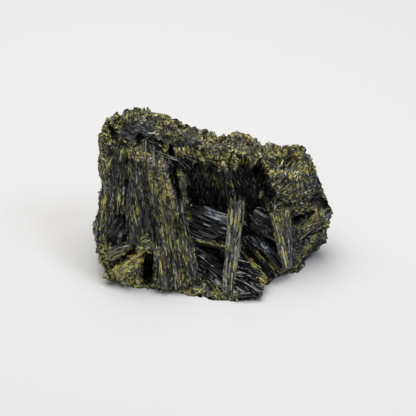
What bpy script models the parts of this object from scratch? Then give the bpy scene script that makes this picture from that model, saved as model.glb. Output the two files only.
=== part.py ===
# Epidote crystal cluster, about 65 mm wide: one naturally intergrown piece.
# Run with: blender --background --python part.py
# The row frame has +X to the right, +Y to the back and +Z up, and the specimen stands on Z = 0.
# Places are written in millimetres as (x, y, z), and turned to Blender's metres by MM.

import math

import bmesh
import bpy
import numpy as np
from mathutils import Matrix, Vector, noise

MM = 0.001

# What the finish of the solid is read from
DARK_GREEN = (0.075, 0.078, 0.050, 1.0)
LUSTRE_ROUGHNESS = 0.45

# The rock body is a loft along X. Each station has nine corners as (y, z): the front foot, the
# front, the foot and the top of the wall behind the vug, the brow, the crest, and down the back.
BODY_STATIONS = {
    -30.8: [(-6, 5), (-6.5, 9), (-5, 16), (-2, 25), (-1, 29), (4, 34), (8, 31), (9, 18), (6, 4)],
    -29.0: [(-8, -1), (-8, 8), (-6, 16), (-2, 28), (-1, 33.5), (6.5, 40), (11, 35), (13, 18), (10, -1)],
    -21.0: [(-11, -2), (-10, 8), (-6, 18), (-2, 29), (0, 35), (10, 41.5), (15, 36), (16, 16), (14, -2)],
    -14.0: [(-12, -2), (-10, 6), (-6, 18), (-2, 29), (0, 34), (11, 38.4), (16, 34), (17, 16), (15, -2)],
    -9.0: [(-13, -2), (-10, 6), (-1, 14), (3, 28), (1, 33.4), (11, 36.4), (16, 32), (17, 15), (15, -2)],
    -5.0: [(-15, -2), (-11, 5), (4, 9), (8, 27), (2.6, 33), (11.5, 34.2), (16, 30), (16, 14), (15, -2)],
    1.0: [(-16, -2), (-12, 4), (5, 8), (8.5, 25), (3, 30.4), (11, 30.6), (15, 26), (15.5, 13), (14, -2)],
    7.0: [(-17, -2), (-13, 4), (5, 8), (8, 25), (3, 30.4), (10.5, 33.4), (15, 29), (15.5, 13), (14, -2)],
    12.0: [(-14, -2), (-11, 4), (1, 10), (5, 24), (1, 29), (10.5, 30.2), (14, 26.6), (14, 13), (13, -2)],
    17.0: [(-9, -2), (-8, 4), (-3, 14), (-1.5, 22), (-1, 26), (9.5, 28.4), (13, 25), (13, 12), (12, -2)],
    23.0: [(-5, -1), (-4, 5), (-3, 15), (-1, 23), (0, 27), (8, 31.6), (11, 28), (12, 12), (10, -1)],
    27.0: [(-2, 1), (-1, 6), (-1, 13), (0, 18), (1, 21), (7, 26), (10, 21), (10, 10), (8, 1)],
    31.0: [(0, 5), (-0.5, 8), (0, 12), (1, 14.5), (2, 16.5), (5, 18), (7, 15), (7, 10), (5, 5)],
}
BODY_RINGS = 24
BODY_SIDES = 22
CAP_SHARES = (0.7, 0.35)
CAP_BULGE = 1.1
BODY_BUMPS = ((6.0, 1.5), (2.6, 0.8))
NOISE_APART = ((0, 0, 0), (19.7, 3.1, 7.3), (5.9, 23.3, 11.1))

# Sprays of side-by-side blades: the corners root_a, root_b, tip_a and tip_b, then the count,
# the thickness behind the face, the way that the face looks, and how ragged the tips are.
SPRAYS = {
    "slab_left": (
        [(-30.6, -8.4, 13), (-24.6, -10, 12.5), (-28.8, 0, 35.6), (-22.4, -0.5, 36.4)],
        (4, 6, (0, -1, 0.3), 0.8),
    ),
    "slab_middle": (
        [(-21.0, -11.4, 12), (-13.6, -13.4, 1.5), (-22.2, -0.5, 36.4), (-17.0, -0.8, 36)],
        (4, 6, (0, -1, 0.3), 0.8),
    ),
    "slab_right": (
        [(-13.6, -13.4, 1.5), (-4.0, -13.6, 3.2), (-17.0, -0.8, 36), (-12.4, -2.2, 32.8)],
        (5, 5, (0, -1, 0.3), 1.2),
    ),
    "slab_edge": (
        [(-30.4, -6.6, 11), (-30.8, 4.5, 8), (-28.8, 0.5, 34), (-29.2, 8.5, 35.4)],
        (3, 5, (-1, 0, 0.1), 1.4),
    ),
    "crest_hollow": (
        [(-25.0, 8, 39.2), (-24.5, 1.5, 37.6), (-14.5, 7, 37.1), (-13.5, 1, 34.8)],
        (4, 3, (0, -0.4, 1), 1.2),
    ),
    "inner_blade": (
        [(-8.6, -1.0, 13), (-7.4, -4.0, 12), (-10, 0.5, 31.5), (-8.6, -1.5, 30.5)],
        (2, 3, (1, -1, 0), 1.2),
    ),
    "cavity_wall": (
        [(-6, 6.6, 29), (12, 4.6, 25), (-6, 3.4, 8), (12, 0.6, 9)],
        (7, 4, (0, -1, 0), 2.0),
    ),
    "plate_a": (
        [(-8, -1.6, 20.8), (-8, -6.0, 11.3), (5.4, -4.4, 16.4), (5.0, -8.2, 10.0)],
        (4, 2.4, (0, -1, 0.7), 0.8),
    ),
    "plate_b": (
        [(-6, -6.5, 10.6), (-6, -10.5, 3.6), (6, -11.4, 4.4), (1.8, -14.8, 0.8)],
        (4, 2.4, (0, -1, 0.7), 0.8),
    ),
    "plate_c": (
        [(10.6, -1.5, 18), (10.6, -4.0, 13.6), (17.6, -4.2, 15.4), (17.6, -6.2, 10.8)],
        (2, 2.4, (0, -1, 0.5), 0.8),
    ),
    "plate_d": (
        [(19.4, -9.0, 4.4), (16.4, -11.4, 2.6), (12.4, -4.6, 12.2), (8.6, -6.4, 10.4)],
        (4, 2.6, (0, -1, 0.8), 1.0),
    ),
    "plate_e": (
        [(5.8, -10.0, 10.4), (5.4, -17.0, 1.6), (13.8, -12.8, 4.4), (13.2, -16.2, 1.2)],
        (4, 2.4, (0, -1, 0.6), 0.8),
    ),
    "plate_f": (
        [(21.4, -2.4, 11.2), (20.4, -4.8, 1.4), (32.0, 0.2, 12.2), (27.0, -2.0, 2.6)],
        (5, 3.2, (0.3, -1, 0.2), 0.6),
    ),
    "back_left": (
        [(-25, 16.2, 2), (-9, 18.0, 0), (-27, 11.5, 37), (-17, 15.3, 38)],
        (5, 5, (0, 1, 0.15), 1.6),
    ),
    "back_middle": (
        [(-14, 18.5, 9), (-3, 18.0, 2), (-6, 16, 32), (4, 15, 29.2)],
        (5, 5, (0, 1, 0.1), 1.6),
    ),
    "back_low": (
        [(-6, 17.5, 0.5), (16, 14, 0.5), (-2, 18, 15), (16, 14.6, 12)],
        (5, 5, (0, 1, 0), 2.4),
    ),
    "back_right": (
        [(4, 16.8, 10), (14, 14.4, 7), (5, 15.0, 29.8), (21, 10.5, 27.8)],
        (5, 5, (0, 1, 0.1), 1.6),
    ),
    "right_flank": (
        [(26.5, 0, 3), (18, 12.5, 0.5), (30.0, 3, 17), (25, 9.5, 26)],
        (5, 5, (1, 0.5, 0), 1.0),
    ),
}
FACETS_PER_BLADE = 2
RIDGE_HEIGHT = 0.4
BLADE_OVERLAP = 1.28
BACK_SHARE = 0.8
TIP_LEAN = 0.3

# Single crystals: root, tip, width, thickness and the way that the broad face looks
CRYSTALS = {
    "column": ((4.2, -15.0, 0.8), (6.2, -9.2, 26.4), 4.5, 3.6, (-0.35, -1, 0.3)),
    "grey_prism": ((19.8, -8.4, 3.0), (18.6, -4.2, 19.8), 3.9, 3.4, (0.1, -1, 0.1)),
    "gold_prism": ((19.4, -9.6, 4.4), (15.6, -5.6, 19.6), 1.5, 2.6, (-0.6, -1, 0.1)),
    "flank_block": ((22.6, -3.4, 10.2), (31.0, 0.4, 17.0), 3.6, 3.4, (0.1, -1, 0.4)),
    "low_blade": ((-29.0, -10.4, 8.4), (-16.4, -11.8, 14.6), 4.2, 3.6, (0, -1, 0.5)),
    "gold_blade": ((-27.0, -12.8, 3.4), (-17.8, -13.0, 12.8), 4.0, 3.2, (-0.3, -1, 0.3)),
}

ROOT_SHARE = 0.9
TIP_SLANT = 0.2

# Crusts of stubby crystals along a line: the line's points, then how many there are,
# their size, how far they spread to the sides, and the way that they point.
CRUSTS = {
    "crest": (
        [(-29.4, 4, 39.2), (-26.4, 7.5, 41.0), (-22, 9.6, 41.6), (-14, 10.6, 38.2), (-7, 11, 34.8),
         (1.5, 10.6, 30.2)],
        (22, 2.6, 2.4, (-0.1, 0.1, 1)),
    ),
    "crest_right": (
        [(3.4, 10.2, 31), (6.8, 9.6, 33.6), (9.6, 9.4, 32), (12, 9.4, 29.0), (17, 8.4, 27.4)],
        (13, 2.3, 2.0, (0, 0, 1)),
    ),
    "ear": ([(20.0, 7.6, 29.6), (22.2, 7.0, 32), (25.0, 6.4, 29.6)], (8, 2.3, 1.6, (0.3, 0, 1))),
    "brow": (
        [(-12, 3, 34.6), (-5, 4, 33), (1, 4.2, 30.2), (9, 4, 30.2), (14.5, 2.6, 28.6)],
        (13, 2.0, 1.4, (0, -0.4, 1)),
    ),
    "head": ([(-28, 3, 36.6), (-27.4, 0.6, 35.4), (-24, 0.6, 36)], (6, 1.6, 1.0, (-0.4, -1, 0.8))),
    "gold_edge": (
        [(-17.5, -1.2, 35.4), (-13, -2.8, 31.4), (-10.5, -5.4, 24.8), (-4.8, -12, 5)],
        (11, 1.4, 0.7, (0.3, -1, 0.3)),
    ),
    "knob": ([(-31.0, -7.4, 10.6), (-28.6, -9.8, 9.6)], (6, 2.2, 1.4, (-0.8, -1, 0.2))),
    "shoulder": ([(22, 3.6, 27), (17, 0.6, 24.4), (14.4, -0.8, 21)], (9, 2.1, 2.0, (0, -1, 0.8))),
    "cheek": (
        [(25, 1.2, 22), (20, -1.8, 20), (24, -1.0, 17.4), (28.6, 2.0, 19)],
        (10, 2.2, 2.0, (0.1, -1, 0.5)),
    ),
    "right_edge": ([(28.4, 4.6, 20.0), (30.2, 3.0, 16)], (5, 2.0, 0.8, (1, -0.2, 0.6))),
    "rim_gold": ([(31.4, 0.0, 11), (28.2, -1.6, 6.4), (24.4, -3.4, 2.6)], (7, 1.2, 0.4, (0.6, -1, 0))),
    "foot_left": (
        [(-28.6, -8.2, 3.0), (-25, -10.6, 1.8), (-20, -11.8, 1.4)],
        (6, 2.4, 1.2, (-0.2, -1, 0.2)),
    ),
    "foot_middle": (
        [(-18.6, -11.6, 1.2), (-9, -13.4, 1.2), (-1.6, -15.6, 1.2)],
        (8, 2.2, 1.0, (0, -1, 0.3)),
    ),
    "foot_front": ([(1, -16.2, 1.0), (6, -17.0, 1.0), (12, -15.6, 1.0)], (7, 1.9, 0.9, (0, -1, 0.4))),
    "foot_right": ([(16.6, -9.4, 1.4), (20, -6.6, 1.6), (25, -4.0, 2.4)], (7, 1.8, 0.9, (0.3, -1, 0.2))),
    "back_crust": (
        [(-23, 14.5, 12), (-16, 16.4, 24), (0, 16, 17), (8, 14.4, 25), (20, 12, 14)],
        (10, 3.0, 2.4, (0, 1, 0.1)),
    ),
}
GRAIN_SIDES = 5
GRAIN_TAPER = 0.7
GRAIN_TILT = 0.55
GRAIN_HEIGHT = (0.36, 0.64)

# Pits cut into the body: centre, radii along X, Y and Z, and the turn about Y in degrees
PITS = {
    "head_notch": ((-29.5, 0.2, 38.6), (1.6, 3.2, 2.2), 0),
    "left_hollow": ((-26.0, -9.0, 15.6), (1.9, 3.4, 4.4), 28),
    "low_slot": ((-23.4, -12.2, 9.6), (4.2, 3.0, 1.0), -38),
    "low_cave": ((-16.4, -13.4, 7.6), (1.9, 4.2, 3.2), 20),
    "flank_cave": ((24.6, -3.4, 15.2), (2.6, 4.0, 1.8), -25),
    "small_cave": ((29.4, 0.4, 18.6), (1.5, 3.0, 0.9), 20),
}
PIT_ROUGHNESS = 0.4
PIT_WAVES = 1.7

# A flat face that the broken foot rests on
REST_HEIGHT = 0.0
SAW_BLOCK = (120, 120, 40)
FOOT_DEPTH = (REST_HEIGHT + 0.001) * MM

# Faces that lie in one plane within this angle become one face
FLAT_ANGLE = math.radians(8.0)


# What the shapes are sorted into before they are joined
SHAPE_KINDS = ("rock", "pits", "crusts", "crystals", "sprays", "saws")


def metres(point):
    """The point as a vector in Blender's metres."""
    return Vector(point) * MM


def clear_scene():
    """Removes the objects that the file opened with."""
    for old in list(bpy.data.objects):
        bpy.data.objects.remove(old)


def helper_collection(name):
    """A collection for the shapes that a Boolean reads and a render leaves out."""
    made = bpy.data.collections.new(name)
    bpy.context.scene.collection.children.link(made)
    made.hide_render = True
    return made


def helper_object(bm, name, collection):
    """A closed helper shape, its faces turned outwards, in its collection."""
    bmesh.ops.recalc_face_normals(bm, faces=bm.faces)
    mesh = bpy.data.meshes.new(name)
    bm.to_mesh(mesh)
    bm.free()
    made = bpy.data.objects.new(name, mesh)
    made.hide_render = True
    made.display_type = "WIRE"
    collection.objects.link(made)
    return made


def smooth_row(table, along, x):
    """The station at x, by a smooth curve through the neighbouring stations."""
    index = int(np.clip(np.searchsorted(along, x) - 1, 0, len(along) - 2))
    before = max(index - 1, 0)
    after = min(index + 2, len(along) - 1)
    t = (x - along[index]) / (along[index + 1] - along[index])
    start, end = table[index], table[index + 1]
    leave = (end - table[before]) / 2
    arrive = (table[after] - start) / 2
    return (
        (2 * t**3 - 3 * t**2 + 1) * start
        + (t**3 - 2 * t**2 + t) * leave
        + (3 * t**2 - 2 * t**3) * end
        + (t**3 - t**2) * arrive
    )


def around_section(corners, sides):
    """A ring of evenly spaced points on the closed outline through the corners."""
    loop = np.vstack([corners, corners[:1]])
    steps = np.linalg.norm(np.diff(loop, axis=0), axis=1)
    walked = np.concatenate([[0], np.cumsum(steps)])
    wanted = np.arange(sides) / sides * walked[-1]
    return np.column_stack([np.interp(wanted, walked, loop[:, k]) for k in (0, 1)])


def rough(point):
    """The point in millimetres, pushed by noise with broad bumps and finer ones."""
    moved = Vector(point)
    for size, amount in BODY_BUMPS:
        at = Vector(point) / size
        moved += Vector([noise.noise(at + Vector(apart)) for apart in NOISE_APART]) * amount
    return moved


def body_rings():
    """The body's rings of points in millimetres: end cap, stations along X, end cap."""
    along = np.array(list(BODY_STATIONS), float)
    table = np.array(list(BODY_STATIONS.values()), float)
    rings = []
    for x in np.linspace(along[0], along[-1], BODY_RINGS):
        section = around_section(smooth_row(table, along, x), BODY_SIDES)
        rings.append(np.column_stack([np.full(BODY_SIDES, x), section]))
    for end, outwards in ((0, -1), (-1, 1)):
        rim = rings[end]
        for step, share in enumerate(CAP_SHARES, 1):
            inner = rim.mean(axis=0) + (rim - rim.mean(axis=0)) * share
            inner[:, 0] += outwards * CAP_BULGE * step / len(CAP_SHARES)
            rings.insert(0 if outwards < 0 else len(rings), inner)
    return rings


def rock_body(collection):
    """The massive rock that the crystals stand on: rings along X, lofted and roughened."""
    bm = bmesh.new()
    rings = [[bm.verts.new(rough(p) * MM) for p in ring] for ring in body_rings()]
    for near, far in zip(rings, rings[1:]):
        for k in range(BODY_SIDES):
            bm.faces.new((near[k - 1], near[k], far[k], far[k - 1]))
    for ring in (rings[0], rings[-1]):
        centre = bm.verts.new(sum((v.co for v in ring), Vector()) / len(ring))
        for k in range(BODY_SIDES):
            bm.faces.new((ring[k - 1], ring[k], centre))
    return helper_object(bm, "rock_body", collection)


def add_blade(name, root, tip, root_width, tip_width, thickness, facing, slant, collection):
    """One flat crystal: a ridged face towards facing, a plain back, and a slanted broken tip."""
    root, tip = metres(root), metres(tip)
    axis = (tip - root).normalized()
    side = axis.cross(Vector(facing)).normalized()
    front = side.cross(axis).normalized()
    across = np.linspace(-0.5, 0.5, 2 * FACETS_PER_BLADE + 1)
    bm = bmesh.new()
    rings = []
    for place, width in ((root, root_width), (tip, tip_width)):
        ring = []
        for k, share in enumerate(across):
            height = RIDGE_HEIGHT * (k % 2) - RIDGE_HEIGHT * abs(share)
            ring.append(place + side * share * width * MM + front * height * MM)
        for share in (0.5, -0.5):
            ring.append(place + side * share * BACK_SHARE * width * MM - front * thickness * MM)
        rings.append(ring)
    rings[-1] = [
        p + axis * ((p - tip).dot(side) * slant + (p - tip).dot(front) * TIP_LEAN) for p in rings[-1]
    ]
    loops = [[bm.verts.new(p) for p in ring] for ring in rings]
    count = len(loops[0])
    for near, far in zip(loops, loops[1:]):
        for k in range(count):
            bm.faces.new((near[k - 1], near[k], far[k], far[k - 1]))
    bm.faces.new(loops[0])
    bm.faces.new(loops[-1])
    return helper_object(bm, name, collection)


def add_spray(name, spray, collection):
    """A fan of blades between a root edge and a tip edge, each a little out of line."""
    (root_a, root_b, tip_a, tip_b), (count, thickness, facing, ragged) = spray
    chance = np.random.default_rng(sum(map(ord, name)))
    root_a, root_b, tip_a, tip_b = (Vector(p) for p in (root_a, root_b, tip_a, tip_b))
    root_width = (root_b - root_a).length / count * BLADE_OVERLAP
    tip_width = (tip_b - tip_a).length / count * BLADE_OVERLAP
    out = Vector(facing).normalized()
    for k in range(count):
        t = (k + 0.5) / count
        root = root_a.lerp(root_b, t)
        tip = tip_a.lerp(tip_b, t)
        axis = (tip - root).normalized()
        step = chance.uniform(-0.45, 0.45)
        reach = chance.uniform(-0.6, 1.0) * ragged
        turn = Matrix.Rotation(math.radians(chance.uniform(-9, 9)), 3, axis)
        add_blade(
            f"{name}_{k}",
            root + out * step,
            tip + out * (step + chance.uniform(-0.3, 0.3)) + axis * reach,
            root_width,
            tip_width,
            thickness,
            turn @ out,
            chance.uniform(-0.5, 0.5),
            collection,
        )


def add_pit(name, centre, radii, turn, collection):
    """The rough hollow that is cut for a pit: a ball, stretched, turned about Y and dented by noise."""
    bm = bmesh.new()
    bmesh.ops.create_icosphere(bm, subdivisions=2, radius=1.0)
    spin = Matrix.Rotation(math.radians(turn), 3, "Y")
    for v in bm.verts:
        grown = v.co * (1 + PIT_ROUGHNESS * noise.noise(v.co * PIT_WAVES))
        stretched = Vector(g * r for g, r in zip(grown, radii))
        v.co = (spin @ stretched + Vector(centre)) * MM
    return helper_object(bm, name, collection)


def add_grain(name, foot, size, direction, chance, collection):
    """One stubby crystal: an uneven five-sided prism that narrows to a slanted end."""
    axis = direction.normalized()
    side = axis.orthogonal().normalized()
    front = axis.cross(side)
    angles = (np.arange(GRAIN_SIDES) + chance.uniform(-0.3, 0.3, GRAIN_SIDES)) / GRAIN_SIDES * math.tau
    reach = size * 0.55 * chance.uniform(0.75, 1.15, GRAIN_SIDES)
    slant = chance.uniform(-0.5, 0.5, 2)
    height = size * chance.uniform(*GRAIN_HEIGHT)
    bm = bmesh.new()
    loops = []
    for level, share in ((-height, 1.0), (height, GRAIN_TAPER)):
        loop = []
        for angle, radius in zip(angles, reach * share):
            u, v = radius * math.cos(angle), radius * math.sin(angle)
            lift = level + (u * slant[0] + v * slant[1] if level > 0 else 0)
            loop.append(bm.verts.new((foot + side * u + front * v + axis * lift) * MM))
        loops.append(loop)
    for k in range(GRAIN_SIDES):
        bm.faces.new((loops[0][k - 1], loops[0][k], loops[1][k], loops[1][k - 1]))
    bm.faces.new(loops[0])
    bm.faces.new(loops[1])
    return helper_object(bm, name, collection)


def add_crust(name, crust, collection):
    """Stubby crystals strung unevenly along a line, each tilted its own way."""
    line, (count, size, spread, outward) = crust
    chance = np.random.default_rng(sum(map(ord, name)))
    points = np.array(line, float)
    walked = np.concatenate([[0], np.cumsum(np.linalg.norm(np.diff(points, axis=0), axis=1))])
    out = Vector(outward).normalized()
    for k in range(count):
        at = (k + chance.uniform(0.1, 0.9)) / count * walked[-1]
        on_line = Vector([np.interp(at, walked, points[:, axis]) for axis in range(3)])
        aside = Vector(chance.uniform(-1, 1, 3)) * spread
        foot = on_line + aside - out * aside.dot(out)
        direction = out + Vector(chance.uniform(-1, 1, 3)) * GRAIN_TILT
        add_grain(f"{name}_{k}", foot, size * chance.uniform(0.7, 1.3), direction, chance, collection)


def keep_outer_skin(bm):
    """Deletes the small sealed pockets that are left between crystals, and any loose chip."""
    unseen = set(bm.verts)
    shells = []
    while unseen:
        shell = set()
        front = [unseen.pop()]
        while front:
            v = front.pop()
            shell.add(v)
            for edge in v.link_edges:
                other = edge.other_vert(v)
                if other in unseen:
                    unseen.remove(other)
                    front.append(other)
        shells.append(shell)
    outer = max(shells, key=len)
    bmesh.ops.delete(bm, geom=[v for v in bm.verts if v not in outer], context="VERTS")


def keep_foot_flat(bm):
    """Marks the rim of the sawn foot as a seam, so that no face near it is joined to the foot."""
    foot = {face for face in bm.faces if all(v.co.z < FOOT_DEPTH for v in face.verts)}
    for edge in bm.edges:
        edge.seam = len(foot.intersection(edge.link_faces)) == 1


def centre_crowded_faces(bm):
    """Fans each face from its middle where cutting it up would lay two diagonals on each other."""
    trial = bm.copy()
    bmesh.ops.triangulate(trial, faces=trial.faces)
    doubled = [{v.index for v in edge.verts} for edge in trial.edges if not edge.is_manifold]
    trial.free()
    crowded = []
    for face in bm.faces:
        corners = {v.index for v in face.verts}
        if len(corners) > 3 and any(pair <= corners for pair in doubled):
            crowded.append(face)
    bmesh.ops.poke(bm, faces=crowded)


def mineral_material():
    """Dark pistachio-green epidote with a glassy lustre."""
    made = bpy.data.materials.new("epidote")
    made.use_nodes = True
    shader = made.node_tree.nodes["Principled BSDF"]
    shader.inputs["Base Color"].default_value = DARK_GREEN
    shader.inputs["Roughness"].default_value = LUSTRE_ROUGHNESS
    shader.inputs["Metallic"].default_value = 0.0
    return made


def cut_or_grow(target, operation, collection):
    """Cuts every shape in the collection from the target, or joins them all to it."""
    step = target.modifiers.new(operation.lower(), "BOOLEAN")
    step.operation = operation
    step.operand_type = "COLLECTION"
    step.collection = collection
    step.solver = "EXACT"


def settled_mesh(target):
    """The target's mesh with its modifiers worked out, in as few triangles as it needs."""
    graph = bpy.context.evaluated_depsgraph_get()
    mesh = bpy.data.meshes.new_from_object(target.evaluated_get(graph), depsgraph=graph)
    bm = bmesh.new()
    bm.from_mesh(mesh)
    keep_outer_skin(bm)
    keep_foot_flat(bm)
    bmesh.ops.dissolve_limit(
        bm, angle_limit=FLAT_ANGLE, verts=bm.verts, edges=bm.edges, delimit={"SEAM"}
    )
    centre_crowded_faces(bm)
    bmesh.ops.triangulate(bm, faces=bm.faces)
    bm.to_mesh(mesh)
    print("triangles", len(bm.faces))
    bm.free()
    return mesh


def add_saw(collection):
    """The block that cuts the foot off flat."""
    saw = bmesh.new()
    block = Matrix.Diagonal((*metres(SAW_BLOCK), 1))
    drop = Matrix.Translation(metres((0, 0, REST_HEIGHT - SAW_BLOCK[2] / 2)))
    bmesh.ops.create_cube(saw, size=1, matrix=drop @ block)
    helper_object(saw, "saw", collection)


def main():
    clear_scene()
    shapes = {name: helper_collection(name) for name in SHAPE_KINDS}
    body = rock_body(shapes["rock"])
    shapes["rock"].objects.unlink(body)
    bpy.context.scene.collection.objects.link(body)
    for name, (centre, radii, turn) in PITS.items():
        add_pit(name, centre, radii, turn, shapes["pits"])
    for name, spray in SPRAYS.items():
        add_spray(name, spray, shapes["sprays"])
    for name, (root, tip, width, thickness, facing) in CRYSTALS.items():
        widths = (width * ROOT_SHARE, width)
        add_blade(name, root, tip, *widths, thickness, facing, TIP_SLANT, shapes["crystals"])
    for name, crust in CRUSTS.items():
        add_crust(name, crust, shapes["crusts"])
    add_saw(shapes["saws"])

    # The crystals are grown on in stages, because one union of them all is less sure to close
    cut_or_grow(body, "DIFFERENCE", shapes["pits"])
    for stage in ("crusts", "crystals", "sprays"):
        cut_or_grow(body, "UNION", shapes[stage])
    cut_or_grow(body, "DIFFERENCE", shapes["saws"])
    mesh = settled_mesh(body)

    for old in list(bpy.data.objects):
        bpy.data.objects.remove(old)
    mesh.name = "epidote_cluster"
    mesh.materials.clear()
    mesh.materials.append(mineral_material())
    cluster = bpy.data.objects.new("epidote_cluster", mesh)
    bpy.context.scene.collection.objects.link(cluster)


main()
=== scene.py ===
# Finished surface of an epidote crystal cluster, a small-cabinet specimen about 65 mm wide.
# Lengths in the settings are millimetres in the frame's own axes: X right, Y back, Z up.
import math

import bpy
import numpy as np
from mathutils import Matrix, Vector, noise


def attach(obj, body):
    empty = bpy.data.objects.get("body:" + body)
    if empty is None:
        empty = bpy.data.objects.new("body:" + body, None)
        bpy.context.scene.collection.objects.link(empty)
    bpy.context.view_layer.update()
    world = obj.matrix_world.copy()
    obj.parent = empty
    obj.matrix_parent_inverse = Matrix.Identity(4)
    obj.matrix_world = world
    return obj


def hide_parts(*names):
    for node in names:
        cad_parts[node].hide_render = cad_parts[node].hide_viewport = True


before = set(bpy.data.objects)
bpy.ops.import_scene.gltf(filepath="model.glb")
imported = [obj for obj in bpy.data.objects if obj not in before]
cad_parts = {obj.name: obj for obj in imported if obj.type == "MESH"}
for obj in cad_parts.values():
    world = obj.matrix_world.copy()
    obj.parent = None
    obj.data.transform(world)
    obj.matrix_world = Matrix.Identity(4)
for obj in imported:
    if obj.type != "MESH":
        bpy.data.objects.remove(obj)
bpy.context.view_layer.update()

mm = 0.001               # the settings' millimetres to Blender's metres
nodeName = "epidote_cluster"


# Small tools for colours, noise and meshes

def linear(hexColour):
    # sRGB to linear: c / 12.92 below 0.04045, otherwise ((c + 0.055) / 1.055) to the power 2.4
    channels = [int(hexColour[i:i + 2], 16) / 255 for i in (1, 3, 5)]
    return [c / 12.92 if c <= 0.04045 else ((c + 0.055) / 1.055) ** 2.4 for c in channels] + [1.0]


def ease(x):
    # 3x² - 2x³ between 0 and 1, flat outside
    x = np.clip(x, 0, 1)
    return x * x * (3 - 2 * x)


def unit(vectors):
    # Each vector divided by its own length
    return vectors / np.maximum(np.linalg.norm(vectors, axis=-1, keepdims=True), 1e-12)


mixing = {                # large numbers with no pattern in their bits
    "cell": (73856093, 19349663, 83492791),
    "seed": 2654435761,
    "bits": 0x45D9F3B,
}


def cellNumbers(cells, seed):
    # Four even random numbers from 0 to 1 for each whole-numbered cell, by mixing its bits
    keys = (cells * np.array(mixing["cell"])).sum(axis=-1) + seed * mixing["seed"]
    mixed = (keys & 0xFFFFFFFF).astype(np.uint32)
    numbers = []
    for draw in range(4):
        for turn in range(2):
            mixed = (mixed ^ (mixed >> 16)) * np.uint32(mixing["bits"])
        mixed = mixed ^ (mixed >> 16)
        numbers.append(mixed / 2.0 ** 32)
    return np.stack(numbers, axis=-1)


def softNoise(points, size, seed):
    # Random numbers at the corners of a cubic lattice of that size, blended by eased shares: -1 to 1
    at = points / size
    cell = np.floor(at).astype(np.int64)
    share = ease(at - cell)
    total = 0
    for corner in np.ndindex(2, 2, 2):
        weight = np.prod(np.where(np.array(corner) == 1, share, 1 - share), axis=-1)
        total = total + weight * cellNumbers(cell + np.array(corner), seed)[..., 0]
    return 2 * total - 1


facet = {                 # in shares of a grain's size
    "middles": (0.15, 0.7),  # where a grain's middle may start in its cell, and how far it may stray
    "steepness": 0.9,
    "crackDepth": 0.5,
    "crackWidth": 0.25,
}


def facetRelief(points, size, seed):
    # Each point takes the nearest of the jittered lattice's grains: height is that grain's own level
    # plus its own slope times the way from its middle, less a crack where two grains are equally near
    at = points / size
    cell = np.floor(at).astype(np.int64)
    nearest = np.full(len(points), 9.0)
    second = np.full(len(points), 9.0)
    level = np.zeros(len(points))
    for step in np.ndindex(3, 3, 3):
        there = cell + np.array(step) - 1
        numbers = cellNumbers(there, seed)
        way = at - there - facet["middles"][0] - facet["middles"][1] * numbers[:, :3]
        distance = np.linalg.norm(way, axis=1)
        slope = cellNumbers(there, seed + 7)
        height = slope[:, 3] - 0.5 + facet["steepness"] * ((slope[:, :3] - 0.5) * way).sum(axis=1) * 2
        closer = distance < nearest
        second = np.where(closer, nearest, np.minimum(second, distance))
        level = np.where(closer, height, level)
        nearest = np.minimum(nearest, distance)
    return level - facet["crackDepth"] * (1 - ease((second - nearest) / facet["crackWidth"]))


def noiseSum(points, layers):
    # Soft noises added up, each of its size and seed times its amount
    return sum(softNoise(points, size, seed) * amount for size, amount, seed in layers)


def lineDistance(points, line):
    # The least distance from each point to the stretches between the line's own points
    line = np.array(line, float)
    best = np.full(len(points), 1e9)
    for start, end in zip(line, line[1:]):
        along = end - start
        share = np.clip(((points - start) @ along) / (along @ along), 0, 1)
        best = np.minimum(best, np.linalg.norm(points - start - share[:, None] * along, axis=1))
    return best


def walkedLengths(points):
    # How far each point of a line lies from its first, walked along it
    return np.concatenate([[0], np.cumsum(np.linalg.norm(np.diff(points, axis=0), axis=1))])


def splitQuads(quads, triangles):
    # Every quad as two triangles, with the triangles after them
    return np.vstack([quads[:, [0, 1, 2]], quads[:, [0, 2, 3]], triangles])


def signedVolume(points, triangles):
    # Sum of the corner triple products over six: positive where faces point outwards
    a, b, c = (points[triangles[:, k]] for k in range(3))
    return (a * np.cross(b, c)).sum() / 6


def putMesh(name, shape, material):
    # Whole arrays into one mesh: the corners, a UV in millimetres per face corner, and two numbers
    # per point, which are its tone and how crusted it is
    points, quads, triangles, quadUv, triangleUv, tones = shape
    mesh = bpy.data.meshes.new(name)
    mesh.vertices.add(len(points))
    mesh.vertices.foreach_set("co", (points * mm).astype(np.float32).ravel())
    corners = np.concatenate([quads.ravel(), triangles.ravel()]).astype(np.int32)
    mesh.loops.add(len(corners))
    mesh.loops.foreach_set("vertex_index", corners)
    starts = np.concatenate([np.arange(len(quads)) * 4, len(quads) * 4 + np.arange(len(triangles)) * 3])
    mesh.polygons.add(len(starts))
    mesh.polygons.foreach_set("loop_start", starts.astype(np.int32))
    mesh.update(calc_edges=True)
    mesh.polygons.foreach_set("use_smooth", np.zeros(len(starts), bool))
    for column, key in enumerate(("tone", "crusted")):
        attribute = mesh.attributes.new(key, "FLOAT", "POINT")
        attribute.data.foreach_set("value", tones[:, column].astype(np.float32))
    if quadUv is not None:
        layer = mesh.uv_layers.new(name="fibre")
        uvs = np.concatenate([quadUv.ravel(), triangleUv.ravel()])
        layer.data.foreach_set("uv", uvs.astype(np.float32))
    mesh.materials.append(material)
    mesh.validate()
    piece = bpy.data.objects.new(name, mesh)
    bpy.context.scene.collection.objects.link(piece)
    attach(piece, "root")
    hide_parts(nodeName)
    print(f"{name}: {len(quads) * 2 + len(triangles)} triangles")


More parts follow.
